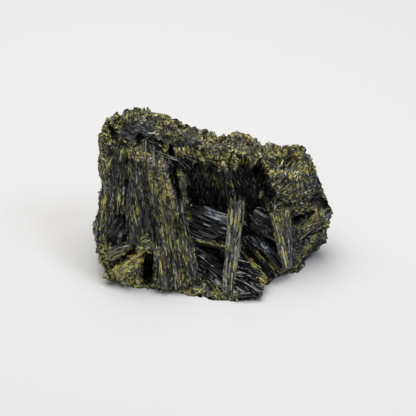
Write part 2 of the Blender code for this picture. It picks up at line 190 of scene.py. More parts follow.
def joinShapes(shapes):
    # Several shapes' arrays as one, with the later ones' corner numbers moved on
    offset = np.cumsum([0] + [len(shape[0]) for shape in shapes[:-1]])
    return (
        np.vstack([shape[0] for shape in shapes]),
        np.vstack([shape[1] + o for shape, o in zip(shapes, offset)]),
        np.vstack([shape[2] + o for shape, o in zip(shapes, offset)]),
        np.vstack([shape[3] for shape in shapes]),
        np.vstack([shape[4] for shape in shapes]),
        np.concatenate([shape[5] for shape in shapes]),
    )


def tubes(body, tones):
    # Closed tubes from rings of corners, body[tube, ring, corner]: quads between the rings, a fan
    # at both ends, faces turned so that the first tube's volume is positive. UV is millimetres round
    # the middle ring and along the rings' centres. tones ends in the two numbers of each corner.
    count, rings, corners = body.shape[:3]
    centres = body.mean(axis=2)
    points = np.concatenate([body.reshape(count, -1, 3), centres[:, [0, -1]]], axis=1)
    index = np.arange(rings * corners).reshape(rings, corners)
    ahead = np.roll(index, -1, axis=1)
    quads = np.stack([index[:-1], ahead[:-1], ahead[1:], index[1:]], axis=-1).reshape(-1, 4)
    caps = np.concatenate([
        np.stack([np.full(corners, rings * corners), ahead[0], index[0]], axis=-1),
        np.stack([np.full(corners, rings * corners + 1), index[-1], ahead[-1]], axis=-1),
    ])
    middle = body[:, rings // 2]
    edges = np.linalg.norm(np.roll(middle, -1, axis=1) - middle, axis=2)
    around = np.concatenate([np.zeros((count, 1)), np.cumsum(edges, axis=1)], axis=1)
    steps = np.linalg.norm(np.diff(centres, axis=1), axis=2)
    along = np.concatenate([np.zeros((count, 1)), np.cumsum(steps, axis=1)], axis=1)
    shift = np.arange(count) * 7.31
    u = np.stack([around[:, :-1], around[:, 1:], around[:, 1:], around[:, :-1]], axis=-1)
    v = np.stack([along[:, :-1], along[:, :-1], along[:, 1:], along[:, 1:]], axis=-1)
    quadUv = np.empty((count, rings - 1, corners, 4, 2))
    quadUv[..., 0] = (u + shift[:, None, None])[:, None]
    quadUv[..., 1] = v[:, :, None]
    capUv = np.zeros((count, 2 * corners, 3, 2))
    capUv[..., 0] = shift[:, None, None]
    if signedVolume(points[0] - centres[0, 0], splitQuads(quads, caps)) < 0:
        quads, caps, quadUv = quads[:, ::-1], caps[:, ::-1], quadUv[..., ::-1, :]
    offset = (np.arange(count) * (rings * corners + 2))[:, None, None]
    tones = np.broadcast_to(tones, (count, rings, corners, 2))
    pointTones = np.concatenate([tones.reshape(count, -1, 2), tones[:, 0, :1], tones[:, -1, :1]], axis=1)
    points = points.reshape(-1, 3)
    points[:, 2] = np.maximum(points[:, 2], 0)
    return (
        points, (quads[None] + offset).reshape(-1, 4), (caps[None] + offset).reshape(-1, 3),
        quadUv.reshape(-1, 4, 2), capUv.reshape(-1, 3, 2), pointTones.reshape(-1, 2),
    )


def addNode(tree, kind, settings=None, links=None):
    # One node: settings go to its properties or its sockets, links join sockets to its inputs
    made = tree.nodes.new(kind)
    for key, value in (settings or {}).items():
        if isinstance(key, str) and hasattr(made, key):
            setattr(made, key, value)
        else:
            made.inputs[key].default_value = value
    for key, socket in (links or {}).items():
        tree.links.new(socket, made.inputs[key])
    return made


def startMaterial(name):
    # A material with an empty node tree
    material = bpy.data.materials.new(name)
    material.use_nodes = True
    material.node_tree.nodes.clear()
    return material, material.node_tree


def fillRamp(ramp, places, hexColours):
    # One stop of the colour ramp at each place
    elements = ramp.color_ramp.elements
    for place in places[1:-1]:
        elements.new(place)
    for element, place, hexColour in zip(elements, places, hexColours):
        element.position = place
        element.color = linear(hexColour)


def perMetre(sizeMm):
    # Texture scale on Object coordinates for a pattern that repeats every sizeMm
    return 1000 / sizeMm


# Materials

# A point's tone runs from bare black epidote at 0 to weathered, brightly lit crust at 1.
# Where it is crusted it takes its colour from the gold stops, and where it is bare from the look's own.

toneStops = (0.0, 0.2, 0.4, 0.55, 0.7, 0.85, 1.0)
goldStops = ("#050604", "#12130A", "#2B2A15", "#514E25", "#857D36", "#B8A84B", "#E0D284")
slateStops = ("#040405", "#0E0F11", "#212429", "#3A3E44", "#646A73", "#97A0AB", "#CBD4DE")
greyStops = ("#050505", "#0F1010", "#242625", "#3B3E3C", "#656A66", "#919790", "#BEC3BA")
mossStops = ("#050605", "#10120D", "#272A22", "#3F4338", "#696E60", "#959B89", "#C2C7B3")

# What tints the gold in places: its colour and the span of the stain noise over which it comes in
stainSize = 3.4              # mm
tints = {
    "rust": ("#D08C58", 0.58, 0.7),
    "moss": ("#D6FFDC", 0.42, 0.6),
}

# In each look a swing is how much lighter and darker a pattern makes the tone, or how far it sways
# the balance of bare and gold; rust and moss are the strengths of those tints.
glassLook = {
    "rust": 0.0,
    "moss": 0.5,
    "blend": 0.15,          # half the span of crustedness over which bare turns to gold
    "bareStops": slateStops,
    "crustBias": -0.1,      # moves the balance towards crust (above 0) or bare crystal (below)
    "crustSwing": 0.25,
    "roughness": 0.13,      # a fresh crystal face
    "ior": 1.75,            # epidote is 1.73 to 1.77
    "streak": (0.35, 6.0),  # mm across and along the streaks of tone
    "streakSwing": 0.16,
    "line": (0.2, 9.0),     # mm across and along the growth lines
    "lineSwing": 0.14,
    "lineDepth": 0.02,      # mm
    "patchSize": 2.2,       # mm
    "patchSwing": 0.1,
}
fibreLook = glassLook | {
    "rust": 0.5,
    "blend": 0.18,
    "bareStops": greyStops,
    "crustBias": 0.0,
    "crustSwing": 0.42,
    "roughness": 0.34,  # weathered faces, dulled by fine breaks
    "streak": (0.34, 1.5),
    "streakSwing": 0.46,
    "line": (0.15, 2.2),
    "lineSwing": 0.24,
    "lineDepth": 0.03,
    "patchSize": 0.9,
    "patchSwing": 0.26,
}
crustLook = {
    "rust": 0.5,
    "moss": 0.6,
    "blend": 0.28,
    "bareStops": mossStops,
    "crustBias": -0.04,
    "crustSwing": 0.45,
    "roughness": 0.42,
    "ior": 1.74,
    "grainSize": 0.45,   # mm, the sugary grain
    "grainDepth": 0.06,  # mm
    "grainSwing": 0.42,
    "patchSize": 0.9,
    "patchSwing": 0.46,
}


def ranged(low, high, start=0.3, end=0.7):
    # Settings that map start to end, by default the span that a noise mostly fills, to low to high
    return {"From Min": start, "From Max": end, "To Min": low, "To Max": high}


def mineralColour(tree, swings, choice, look):
    # The point's tone plus the swings reads both sets of stops; gold shows where how crusted the
    # point is, plus the choice's own swing and the look's bias, passes a half. Here and there the
    # gold is stained by rust, as iron-rich crusts are, and elsewhere it leans to moss green.
    place = addNode(tree, "ShaderNodeTexCoord").outputs["Object"]
    stains = addNode(
        tree, "ShaderNodeTexNoise", {"Scale": perMetre(stainSize), "Detail": 3.0}, {"Vector": place},
    )
    tone = addNode(tree, "ShaderNodeAttribute", {"attribute_name": "tone"}).outputs["Fac"]
    for swing in swings:
        tone = addNode(tree, "ShaderNodeMath", {"operation": "ADD"}, {0: tone, 1: swing}).outputs[0]
    crusted = addNode(tree, "ShaderNodeAttribute", {"attribute_name": "crusted"}).outputs["Fac"]
    swayed = addNode(tree, "ShaderNodeMath", {"operation": "ADD"}, {0: crusted, 1: choice}).outputs[0]
    middle = 0.5 - look["crustBias"]
    settings = ranged(0, 1, middle - look["blend"], middle + look["blend"])
    share = addNode(tree, "ShaderNodeMapRange", settings, {"Value": swayed}).outputs[0]
    colours = []
    for stops in (look["bareStops"], goldStops):
        ramp = addNode(tree, "ShaderNodeValToRGB", {}, {"Fac": tone})
        fillRamp(ramp, toneStops, stops)
        colours.append(ramp.outputs["Color"])
    bareColour, gold = colours
    hues = addNode(tree, "ShaderNodeSeparateColor", {}, {"Color": stains.outputs["Color"]})
    sources = {"rust": stains.outputs["Fac"], "moss": hues.outputs["Green"]}
    for key, (tint, start, end) in tints.items():
        strength = addNode(
            tree, "ShaderNodeMapRange", ranged(0, look[key], start, end), {"Value": sources[key]},
        )
        gold = addNode(
            tree, "ShaderNodeMix", {"data_type": "RGBA", "blend_type": "MULTIPLY", 7: linear(tint)},
            {0: strength.outputs[0], 6: gold},
        ).outputs[2]
    mix = addNode(tree, "ShaderNodeMix", {"data_type": "RGBA"}, {0: share, 6: bareColour, 7: gold})
    return mix.outputs[2]


def finishMaterial(tree, colour, roughness, relief, height, look):
    # The colour, the roughness and the bumps that the relief makes of the height on one shader
    bump = addNode(tree, "ShaderNodeBump", relief, {"Height": height})
    shader = addNode(
        tree, "ShaderNodeBsdfPrincipled", {"IOR": look["ior"]},
        {"Base Color": colour, "Roughness": roughness, "Normal": bump.outputs["Normal"]},
    )
    addNode(tree, "ShaderNodeOutputMaterial", {}, {"Surface": shader.outputs[0]})


def crystalMaterial(name, look):
    # Prismatic epidote, grown free in a vug: glassy faces with fine growth lines along the prism, so
    # bright streaks in the light and black elsewhere. Where it is weathered it turns pistachio.
    material, tree = startMaterial(name)
    fibre = addNode(tree, "ShaderNodeUVMap", {"uv_map": "fibre"}).outputs["UV"]
    noises = []
    for across, along in (look["streak"], look["line"]):
        stretch = {"Scale": (1 / across, 1 / along, 1)}
        mapping = addNode(tree, "ShaderNodeMapping", stretch, {"Vector": fibre})
        settings = {"Scale": 1.0, "Detail": 2.0, "Roughness": 0.6}
        noises.append(addNode(tree, "ShaderNodeTexNoise", settings, {"Vector": mapping.outputs[0]}))
    streaks, lines = noises
    place = addNode(tree, "ShaderNodeTexCoord").outputs["Object"]
    settings = {"Scale": perMetre(look["patchSize"]), "Detail": 4.0, "Roughness": 0.7}
    patchNoise = addNode(tree, "ShaderNodeTexNoise", settings, {"Vector": place})
    hues = addNode(tree, "ShaderNodeSeparateColor", {}, {"Color": streaks.outputs["Color"]})
    sources = {
        "streakSwing": streaks.outputs["Fac"], "lineSwing": lines.outputs["Fac"],
        "patchSwing": patchNoise.outputs["Fac"], "crustSwing": hues.outputs["Green"],
    }
    *swings, choice = [
        addNode(tree, "ShaderNodeMapRange", ranged(-look[key], look[key]), {"Value": source}).outputs[0]
        for key, source in sources.items()
    ]
    colour = mineralColour(tree, swings, choice, look)
    settings = ranged(look["roughness"] * 0.7, look["roughness"] * 1.6)
    dull = addNode(tree, "ShaderNodeMapRange", settings, {"Value": patchNoise.outputs["Fac"]})
    relief = {"Strength": 0.6, "Distance": look["lineDepth"] * mm}
    finishMaterial(tree, colour, dull.outputs[0], relief, lines.outputs["Fac"], look)
    return material


def sugaryMaterial(name, look):
    # Sugary epidote crust, grown as thousands of grains under a millimetre: each grain catches the
    # light its own way and has its own shade from black-green to pistachio or grey.
    material, tree = startMaterial(name)
    place = addNode(tree, "ShaderNodeTexCoord").outputs["Object"]
    settings = {"Scale": perMetre(look["grainSize"])}
    grains = addNode(tree, "ShaderNodeTexVoronoi", settings, {"Vector": place})
    shade = addNode(tree, "ShaderNodeSeparateColor", {}, {"Color": grains.outputs["Color"]})
    settings = {"Scale": perMetre(look["patchSize"]), "Detail": 4.0, "Roughness": 0.65}
    patchNoise = addNode(tree, "ShaderNodeTexNoise", settings, {"Vector": place})
    # What sways each value, and the span that it fills
    sources = {
        "grainSwing": (shade.outputs["Red"], 0, 1), "patchSwing": (patchNoise.outputs["Fac"], 0.3, 0.7),
        "crustSwing": (shade.outputs["Blue"], 0, 1),
    }
    *swings, choice = [
        addNode(
            tree, "ShaderNodeMapRange", ranged(-look[key], look[key], start, end), {"Value": source},
        ).outputs[0]
        for key, (source, start, end) in sources.items()
    ]
    colour = mineralColour(tree, swings, choice, look)
    settings = ranged(look["roughness"] * 0.6, look["roughness"] * 1.7, 0, 1)
    dull = addNode(tree, "ShaderNodeMapRange", settings, {"Value": shade.outputs["Green"]})
    relief = {"Strength": 0.8, "Distance": look["grainDepth"] * mm, "invert": True}
    finishMaterial(tree, colour, dull.outputs[0], relief, grains.outputs["Distance"], look)
    return material


glassyEpidote = crystalMaterial("glassy prismatic epidote", glassLook)
fibrousEpidote = crystalMaterial("fibrous epidote", fibreLook)
sugaryEpidote = sugaryMaterial("sugary epidote crust", crustLook)
print("materials made")


# Camera, floor and light

view = {
    "elevation": 35.0,     # degrees above the table
    "distance": 400.0,
    "target": (-1.3, 0.0, 17.3),
    "mmPerPixel": 0.2697,  # at the target, in a picture 416 pixels wide
    "pictureWidth": 416,
    "sensor": 36.0,
}
studio = {
    "floorColour": "#EDEDEE",
    "floorSize": 3000.0,
    "skyColour": "#F6F7FF",
    "skyStrength": 0.14,
    "lamps": {
        # place, size in mm, power in watts, colour
        "key soft box": ((-80.0, 110.0, 620.0), 620.0, 4.0, "#FFFDF8"),
        "side soft box": ((300.0, -170.0, 520.0), 210.0, 0.8, "#F1F5FF"),
    },
}


def makeCamera():
    # Lens: sensor width times distance over the width of what the picture shows at that distance
    rise = math.radians(view["elevation"])
    back = Vector((0, -math.cos(rise), math.sin(rise)))
    camera = bpy.data.cameras.new("camera")
    camera.sensor_width = view["sensor"]
    camera.lens = view["sensor"] * view["distance"] / (view["mmPerPixel"] * view["pictureWidth"])
    camera.clip_start = 0.01
    holder = bpy.data.objects.new("camera", camera)
    holder.location = (Vector(view["target"]) + back * view["distance"]) * mm
    holder.rotation_mode = "QUATERNION"
    holder.rotation_quaternion = (-back).to_track_quat("-Z", "Y")
    bpy.context.scene.collection.objects.link(holder)
    bpy.context.scene.camera = holder


def makeFloor():
    # One plain pale sheet at Z = 0
    half = studio["floorSize"] * mm / 2
    mesh = bpy.data.meshes.new("floor")
    corners = [(-half, -half, 0), (half, -half, 0), (half, half, 0), (-half, half, 0)]
    mesh.from_pydata(corners, [], [(0, 1, 2, 3)])
    material, tree = startMaterial("pale matt paper")
    settings = {"Base Color": linear(studio["floorColour"]), "Roughness": 0.9, "Specular IOR Level": 0.1}
    shader = addNode(tree, "ShaderNodeBsdfPrincipled", settings)
    addNode(tree, "ShaderNodeOutputMaterial", {}, {"Surface": shader.outputs[0]})
    mesh.materials.append(material)
    floor = bpy.data.objects.new("floor", mesh)
    bpy.context.scene.collection.objects.link(floor)


def makeLights():
    # Two soft boxes above, in an even pale room
    world = bpy.data.worlds.new("room")
    world.use_nodes = True
    background = world.node_tree.nodes["Background"]
    background.inputs["Color"].default_value = linear(studio["skyColour"])
    background.inputs["Strength"].default_value = studio["skyStrength"]
    bpy.context.scene.world = world
    for name, (place, size, power, colour) in studio["lamps"].items():
        lamp = bpy.data.lights.new(name, "AREA")
        lamp.shape = "SQUARE"
        lamp.size = size * mm
        lamp.energy = power
        lamp.color = linear(colour)[:3]
        holder = bpy.data.objects.new(name, lamp)
        holder.location = Vector(place) * mm
        holder.rotation_mode = "QUATERNION"
        holder.rotation_quaternion = (-holder.location).to_track_quat("-Z", "Y")
        bpy.context.scene.collection.objects.link(holder)


makeCamera()
makeFloor()
makeLights()
bpy.context.scene.view_settings.view_transform = "Standard"
print("camera, floor and light made")


# Where the crust grows

# Each zone: its line, how far it reaches to the sides, how thickly it covers (1 is closed over), its
# tone, and how thick its loose grains lie
zones = {
    "crest": (
        [(-29, 4, 38), (-22, 9, 41), (-14, 10, 38), (-7, 10.6, 35), (1.5, 10, 31), (7.2, 9.6, 33),
         (12, 9.4, 30), (17, 8.4, 28.4), (22.2, 7, 31.6), (25.5, 6, 29)],
        7.5, 1.0, 0.49, 1.0,
    ),
    "backCrest": (
        [(-27, 12, 36), (-16, 16, 36), (-4, 17, 33), (6, 16, 31), (20, 12, 29)],
        4.5, 0.9, 0.52, 1.0,
    ),
    "brow": (
        [(-14, 2, 35), (-5, 3.5, 33.4), (1, 3.6, 30.8), (9, 3.6, 30.6), (14.5, 2.2, 28.6)],
        3.0, 1.0, 0.6, 1.0,
    ),
    "head": ([(-29, 3, 36.6), (-27.4, 0, 35.4), (-17, -0.6, 36)], 2.6, 0.9, 0.48, 0.8),
    "shoulder": ([(24, 6, 29), (20, 2.4, 26), (15, -0.4, 22)], 6.0, 0.5, 0.46, 0.6),
    "shoulderPatch": ([(15.6, 2, 27), (18.4, 1.4, 26.0)], 1.9, 1.0, 0.82, 0.3),
    "cheek": ([(26, 2, 24), (20, -1.6, 20), (25, -0.8, 17.4), (30, 2.4, 18)], 4.6, 0.7, 0.5, 0.9),
    "ridgeTop": (
        [(-22, -0.6, 36.2), (-16.6, -1.2, 34.6), (-13.8, -3.2, 31), (-11.6, -5.4, 25.4)],
        3.0, 1.0, 0.7, 2.5,
    ),
    "ridge": ([(-14.6, -3.2, 30), (-12, -6, 23), (-9.6, -9.2, 14), (-8, -12, 6)], 4.8, 0.8, 0.7, 0.1),
    "ridgeEdge": ([(-11, -5.4, 24.8), (-8, -8.8, 14.8), (-5.4, -12, 5)], 1.6, 0.9, 0.66, 0.3),
    "innerBlade": ([(-8.4, -1.6, 29.4), (-7.4, -3.6, 18)], 2.4, 1.0, 0.52, 1.0),
    "leftSide": ([(-29.8, -7, 12), (-28.6, -1, 34)], 3.4, 1.0, 0.7, 0.2),
    "leftFlank": ([(-30.5, 4, 8), (-29.5, 6, 30)], 7.0, 0.5, 0.55, 0.5),
    "backLow": (
        [(-24, 15, 6), (-14, 17.5, 14), (-4, 18, 6), (8, 16.4, 12), (18, 13, 5)],
        5.5, 0.55, 0.5, 1.0,
    ),
    "rightEnd": ([(30, 4, 8), (28, 6, 16), (22, 11, 10)], 6.0, 0.6, 0.5, 1.0),
    "slabFlecks": ([(-25, -9, 14), (-22, -1, 33)], 12.0, 0.34, 0.6, 0.0),
    "slabFoot": ([(-16, -11, 8), (-8, -13, 7)], 7.0, 0.4, 0.6, 0.0),
    "knob": ([(-31.2, -7.6, 10.2), (-28.4, -10, 8.8)], 3.4, 0.9, 0.46, 1.0),
    "lowBlade": ([(-27, -10.6, 9.6), (-18, -12, 14)], 3.0, 0.7, 0.54, 0.1),
    "goldBlade": ([(-26.4, -13.4, 4.4), (-19, -13.6, 11.4)], 3.4, 0.9, 0.9, 0.12),
    "footLeft": ([(-29, -8.4, 3.4), (-25, -10.8, 3.0), (-20, -12, 1.8)], 4.6, 0.95, 0.7, 1.0),
    "footMiddle": ([(-18.6, -11.8, 1.4), (-9, -13.6, 2), (-1.6, -15.8, 1)], 4.0, 1.0, 0.57, 1.0),
    "footGold": ([(-11.5, -13.3, 2.8), (-7.6, -13.5, 2.6)], 1.7, 1.0, 0.95, 1.0),
    "footFront": ([(1, -16.4, 0.8), (6, -17.2, 0.8), (12, -15.8, 0.8)], 2.4, 0.9, 0.55, 1.0),
    "footRight": ([(16.6, -9.6, 1.2), (20, -6.8, 1.4), (25, -4.2, 2.2)], 2.6, 0.8, 0.55, 1.0),
    "rimGold": ([(30.6, 0.6, 11.8), (27.2, -0.8, 6.6), (23.6, -2.8, 2.2)], 2.0, 1.0, 0.78, 1.0),
    "rimA": ([(-7.5, -6, 11.6), (-4.8, -5.9, 11.6), (2.5, -7.8, 10.4)], 1.2, 1.0, 0.8, 0.5),
    "rimE": ([(9.0, -9.2, 8.6), (13.3, -13.2, 4.6), (13.6, -15.8, 1.6)], 1.5, 1.0, 0.82, 0.8),
    "flankTop": ([(24, -3, 12.5), (31, 0.2, 18)], 2.2, 0.9, 0.64, 0.8),
    "prismHead": ([(18.4, -4.8, 18.6), (19, -5.4, 16.6)], 2.8, 1.0, 0.62, 1.0),
    "wallFlecks": ([(-3, 5.6, 26), (4, 4.4, 21)], 3.4, 0.6, 0.6, 0.6),
    "blockE": ([(12.6, -8.6, 8.4), (17.4, -10.4, 4.2)], 2.2, 0.8, 0.5, 0.1),
}
# What stays bare, as the middle and the three half widths of a rounded space
bare = {
    "vug": ((2, -1, 19), (13, 9, 11)),
    "lowerFans": ((6, -9, 6), (11, 8, 7)),
    "lowCave": ((-16.9, -12.2, 6.0), (2.2, 3, 5.4)),
    "crestHollow": ((-20.5, 4.6, 38.2), (5.6, 3.6, 3.4)),
    "leftHollow": ((-25.6, -9.0, 15.2), (3.0, 4, 5)),
}
# The zones that grow there all the same
overBare = ("rimA", "rimE", "footGold", "wallFlecks", "innerBlade", "blockE")
crustGrowth = {
    # size, amount and seed of each noise, in the crust's tone and at its borders
    "clumps": ((4.2, 0.45, 15), (1.7, 0.6, 13), (0.8, 0.5, 14)),
    "ragged": ((2.4, 0.3, 11), (0.9, 0.25, 12)),
    "steepness": 1.6,    # how steeply the cover falls towards its border
    "bareSteepness": 3,  # and the bare spaces' hold on it
    "bareness": 0.93,    # the share of the cover that they take away
    "bareTone": 0.3,
}


def patches(points):
    # Soft noise of three sizes, the crust's own clumps: about -1 to 1
    return noiseSum(points, crustGrowth["clumps"])


def nearness(points, line, reach, ragged):
    # 1 on the line, eased down to nothing at a reach that the ragged noise frays
    return ease((1 - lineDistance(points, line) / reach + ragged) * crustGrowth["steepness"])


def crustShare(points):
    # How closed the crust is, its tone and its loose grains: the zone with the most to say at each
    # point wins, each falling from its cover on its line to nothing at its reach, with ragged borders
    ragged = noiseSum(points, crustGrowth["ragged"])
    share = np.zeros(len(points))
    tone = np.full(len(points), crustGrowth["bareTone"])
    grit = np.zeros(len(points))
    bareness = np.ones(len(points))
    for centre, radii in bare.values():
        inside = 1 - np.linalg.norm((points - centre) / radii, axis=1)
        covered = 1 - ease(inside * crustGrowth["bareSteepness"]) * crustGrowth["bareness"]
        bareness = np.minimum(bareness, covered)
    for name, (line, reach, cover, zoneTone, zoneGrit) in zones.items():
        here = cover * nearness(points, line, reach, ragged)
        if name not in overBare:
            here = here * bareness
        tone = np.where(here > share, zoneTone, tone)
        grit = np.maximum(grit, here * zoneGrit)
        share = np.maximum(share, here)
    return share, tone, grit


# Where the surface is pushed out or in

# Each mould: its line, its reach, how far it pushes and which way
moulds = {
    "crest": (
        [(-21, 8, 40), (-14, 9, 37.4), (-7, 9.6, 34), (1, 9, 30.6), (9, 8.6, 30.4), (15, 8, 28.6)],
        6.0, 1.55, (0, 0, 1),
    ),
    "peak": ([(4.6, 9.6, 32.6), (8.6, 9.4, 32.4)], 3.4, 1.2, (0, 0, 1)),
    "ear": ([(20.4, 7.4, 30.6), (23.4, 7.0, 30.4)], 4.6, 1.5, (0, 0, 1)),
    "earRight": ([(26.8, 5.4, 28.8), (27.6, 4, 25.6)], 2.6, 1.8, (-0.8, 0.3, -0.4)),
    "head": ([(-27.4, 4, 38.6), (-23, 6.4, 40.4)], 4.6, 0.9, (0, 0, 1)),
    "foot": (
        [(-22, -12.4, 1), (-9, -14, 1), (-1.6, -16, 1), (6, -17.2, 1), (11, -16.4, 1)],
        3.4, 1.7, (0, -1, 0),
    ),
    "ridge": (
        [(-16.6, -1.2, 34.6), (-13.4, -3.4, 30.4), (-11.4, -6, 24), (-9, -9.4, 14)],
        3.6, 1.1, (0.1, -0.85, 0.5),
    ),
    "valley": ([(-18.4, -1.4, 33.4), (-16.4, -5.4, 23), (-15.4, -8.8, 13)], 2.6, -0.9, (0, -0.9, 0.4)),
    "leftStrip": ([(-31.4, -4, 13), (-30.4, 1, 33)], 5.6, 2.0, (1, 0, 0)),
    "lowRight": ([(31.4, 0, 9), (26, -2.6, 3)], 4.0, 1.8, (-0.8, 0.6, 0)),
    "leftEnd": ([(-32, 4, 9), (-31.6, 5, 30)], 5.0, 1.3, (1, 0, 0)),
    "headNotch": ([(-30.6, 0.4, 36.2), (-28.6, 0.4, 33.8)], 2.6, 3.6, (0.7, 0.7, 0)),
}
# Clefts, where all that lies near the line, seen along the way, is sunk to one floor that is painted
# dark with shade. Each cleft: its line, its reach to the sides, its depth and the way it goes in.
clefts = {
    "underCrest": (
        [(-19.0, -0.2, 36.2), (-15.8, -0.6, 34.9), (-12.2, -0.8, 33.2), (-10.8, -1.2, 31)],
        1.5, 5.5, (0, 1, 0),
    ),
    "innerGap": ([(-11.4, -0.4, 33.4), (-10.4, -3.4, 27.4), (-9.2, -5.2, 22.6)], 1.5, 6.0, (0, 1, 0)),
    "vugRight": (
        [(12.0, 2.4, 27.4), (13.4, 1.2, 24.6), (14.8, -0.4, 22.4), (15.4, -1.4, 20.6)],
        2.2, 5.0, (0, 1, 0),
    ),
    "leftHollow": ([(-28.2, -8.8, 12.6), (-24.8, -8.2, 18.4)], 2.2, 3.0, (0, 1, 0)),
    "lowSlot": ([(-26, -11.8, 7.6), (-20.8, -12, 11.6)], 1.0, 4.0, (0, 1, 0)),
    "lowCave": ([(-17.4, -12.8, 10.6), (-16.8, -12.2, 6.2), (-17.2, -11.4, 2.6)], 1.8, 5.0, (0, 1, 0)),
    "flankCave": ([(22.8, -3.6, 15.0), (26.4, -3.0, 15.8)], 1.4, 4.0, (0, 1, 0)),
    "edgeCave": ([(26.8, -0.9, 19.0), (28.4, -0.6, 18.0), (30.0, 0.2, 16.8)], 1.7, 4.0, (0, 1, 0)),
    "headGap": ([(-27.2, 5.6, 38.2), (-25.8, 3.2, 36.8)], 1.0, 2.5, (0, 0.5, -0.85)),
}
moulding = {
    "ragged": ((1.8, 0.3, 17),),  # size, amount and seed of the noise that frays the borders
    "before": (4, 1.5),           # a cleft takes hold this far before its line, over that span
    "beyond": (3, 2),             # and lets go this far beyond its floor, over that span
}


def moulded(points):
    # Each mould moves the points near its line along its way, by its push times their eased nearness.
    # Each cleft moves them by that nearness times the way still to go to its floor, the nearness being
    # measured across its way and in a span of depths; the largest one is how hidden the point is, 0 to 1,
    # which sets the painted shade in the clefts.
    flat = points.reshape(-1, 3)
    moved = flat.copy()
    hidden = np.zeros(len(flat))
    ragged = noiseSum(flat, moulding["ragged"])
    for line, reach, push, way in moulds.values():
        near = nearness(flat, line, reach, ragged)
        moved += near[:, None] * push * unit(np.array(way, float))
    before, beforeSpan = moulding["before"]
    beyond, beyondSpan = moulding["beyond"]
    for line, reach, depth, way in clefts.values():
        way = unit(np.array(way, float))
        line = np.array(line, float)
        near = nearness(
            flat - (flat @ way)[:, None] * way, line - (line @ way)[:, None] * way, reach, ragged,
        )
        chord = line[-1] - line[0]
        share = np.clip((flat - line[0]) @ chord / (chord @ chord), 0, 1)
        behind = (flat - line[0]) @ way - share * (chord @ way)
        near = near * ease((behind + before) / beforeSpan) * ease((depth + beyond - behind) / beyondSpan)
        moved += (near * np.maximum(depth - behind, 0))[:, None] * way
        hidden = np.maximum(hidden, near)
    return moved.reshape(points.shape), hidden.reshape(points.shape[:-1])


# The rock: a loft through stations along X, with facet relief on a fine grid

rock = {
    # At each x, as (y, z): the front foot, the front, the foot and the top of the vug's wall, the brow,
    # the crest, and three places down the back
    "stations": {
        -30.8: [(-6, 5), (-6.5, 9), (-5, 16), (-2, 25), (-1, 29), (4, 34), (8, 31), (9, 18), (6, 4)],
        -29.0: [(-8, -1), (-8, 8), (-6, 16), (-2, 28), (-1, 33.5), (6.5, 40), (11, 35), (13, 18), (10, -1)],
        -21.0: [(-11, -2), (-10, 8), (-6, 18), (-2, 29), (0, 35), (10, 41.5), (15, 36), (16, 16), (14, -2)],
        -14.0: [(-12, -2), (-10, 6), (-6, 18), (-2, 29), (0, 34), (11, 38.4), (16, 34), (17, 16), (15, -2)],
        -9.0: [(-13, -2), (-10, 6), (-1, 14), (3, 28), (1, 33.4), (11, 36.4), (16, 32), (17, 15), (15, -2)],
        -5.0: [(-15, -2), (-11, 5), (4, 9), (8, 27), (2.6, 33), (11.5, 34.2), (16, 30), (16, 14), (15, -2)],
        1.0: [(-16, -2), (-12, 4), (5, 8), (8.5, 25), (3, 30.4), (11, 30.6), (15, 26), (15.5, 13), (14, -2)],
        7.0: [(-17, -2), (-13, 4), (5, 8), (8, 25), (3, 30.4), (10.5, 33.4), (15, 29), (15.5, 13), (14, -2)],
        12.0: [(-14, -2), (-11, 4), (1, 10), (5, 24), (1, 29), (10.5, 30.2), (14, 26.6), (14, 13), (13, -2)],
        17.0: [(-9, -2), (-8, 4), (-3, 14), (-1.5, 22), (-1, 26), (9.5, 28.4), (13, 25), (13, 12), (12, -2)],
        23.0: [(-5, -1), (-4, 5), (-3, 15), (-1, 23), (0, 27), (8, 31.6), (11, 28), (12, 12), (10, -1)],
        27.0: [(-2, 1), (-1, 6), (-1, 13), (0, 18), (1, 21), (7, 26), (10, 21), (10, 10), (8, 1)],
        31.0: [(0, 5), (-0.5, 8), (0, 12), (1, 14.5), (2, 16.5), (5, 18), (7, 15), (7, 10), (5, 5)],
    },
    "rings": 24,
    "sides": 22,
    "capShares": (0.7, 0.35),                      # how wide each ring of the closed ends still is
    "capBulge": 1.1,
    "bumps": ((6.0, 1.5), (2.6, 0.8)),             # size and height of the rock's own lumps
    "noiseApart": ((0, 0, 0), (19.7, 3.1, 7.3), (5.9, 23.3, 11.1)),
    "fineRings": 270,
    "fineSides": 230,
    "relief": ((2.2, 0.3, 20), (0.95, 0.32, 21)),  # size, height and seed of the crystal faces on it
    "bareTone": 0.26,
    "reliefShade": 0.9,                              # painted light and shade: how much lighter a rise of the relief and darker a hollow is, per mm
    "patchTone": 0.18,
    "caveShade": 0.9,                               # painted shade: how much darker the clefts' floors are painted
}
# Painted glints: where bare needles are painted paler, as line, reach and how much paler
paintedGlints = {
    "plateA": ([(-1.0, -3.6, 18.4), (4.5, -5.5, 14.8)], 3.0, 0.95),
    "plateB": ([(-4, -7.5, 9.4), (1.6, -13.5, 2.6)], 1.5, 0.8),
    "plateD": ([(9.7, -5.0, 11.4), (14.6, -7, 8.6)], 2.3, 0.95),
    "plateE": ([(6, -11, 8), (11, -13, 5)], 1.5, 0.35),
}


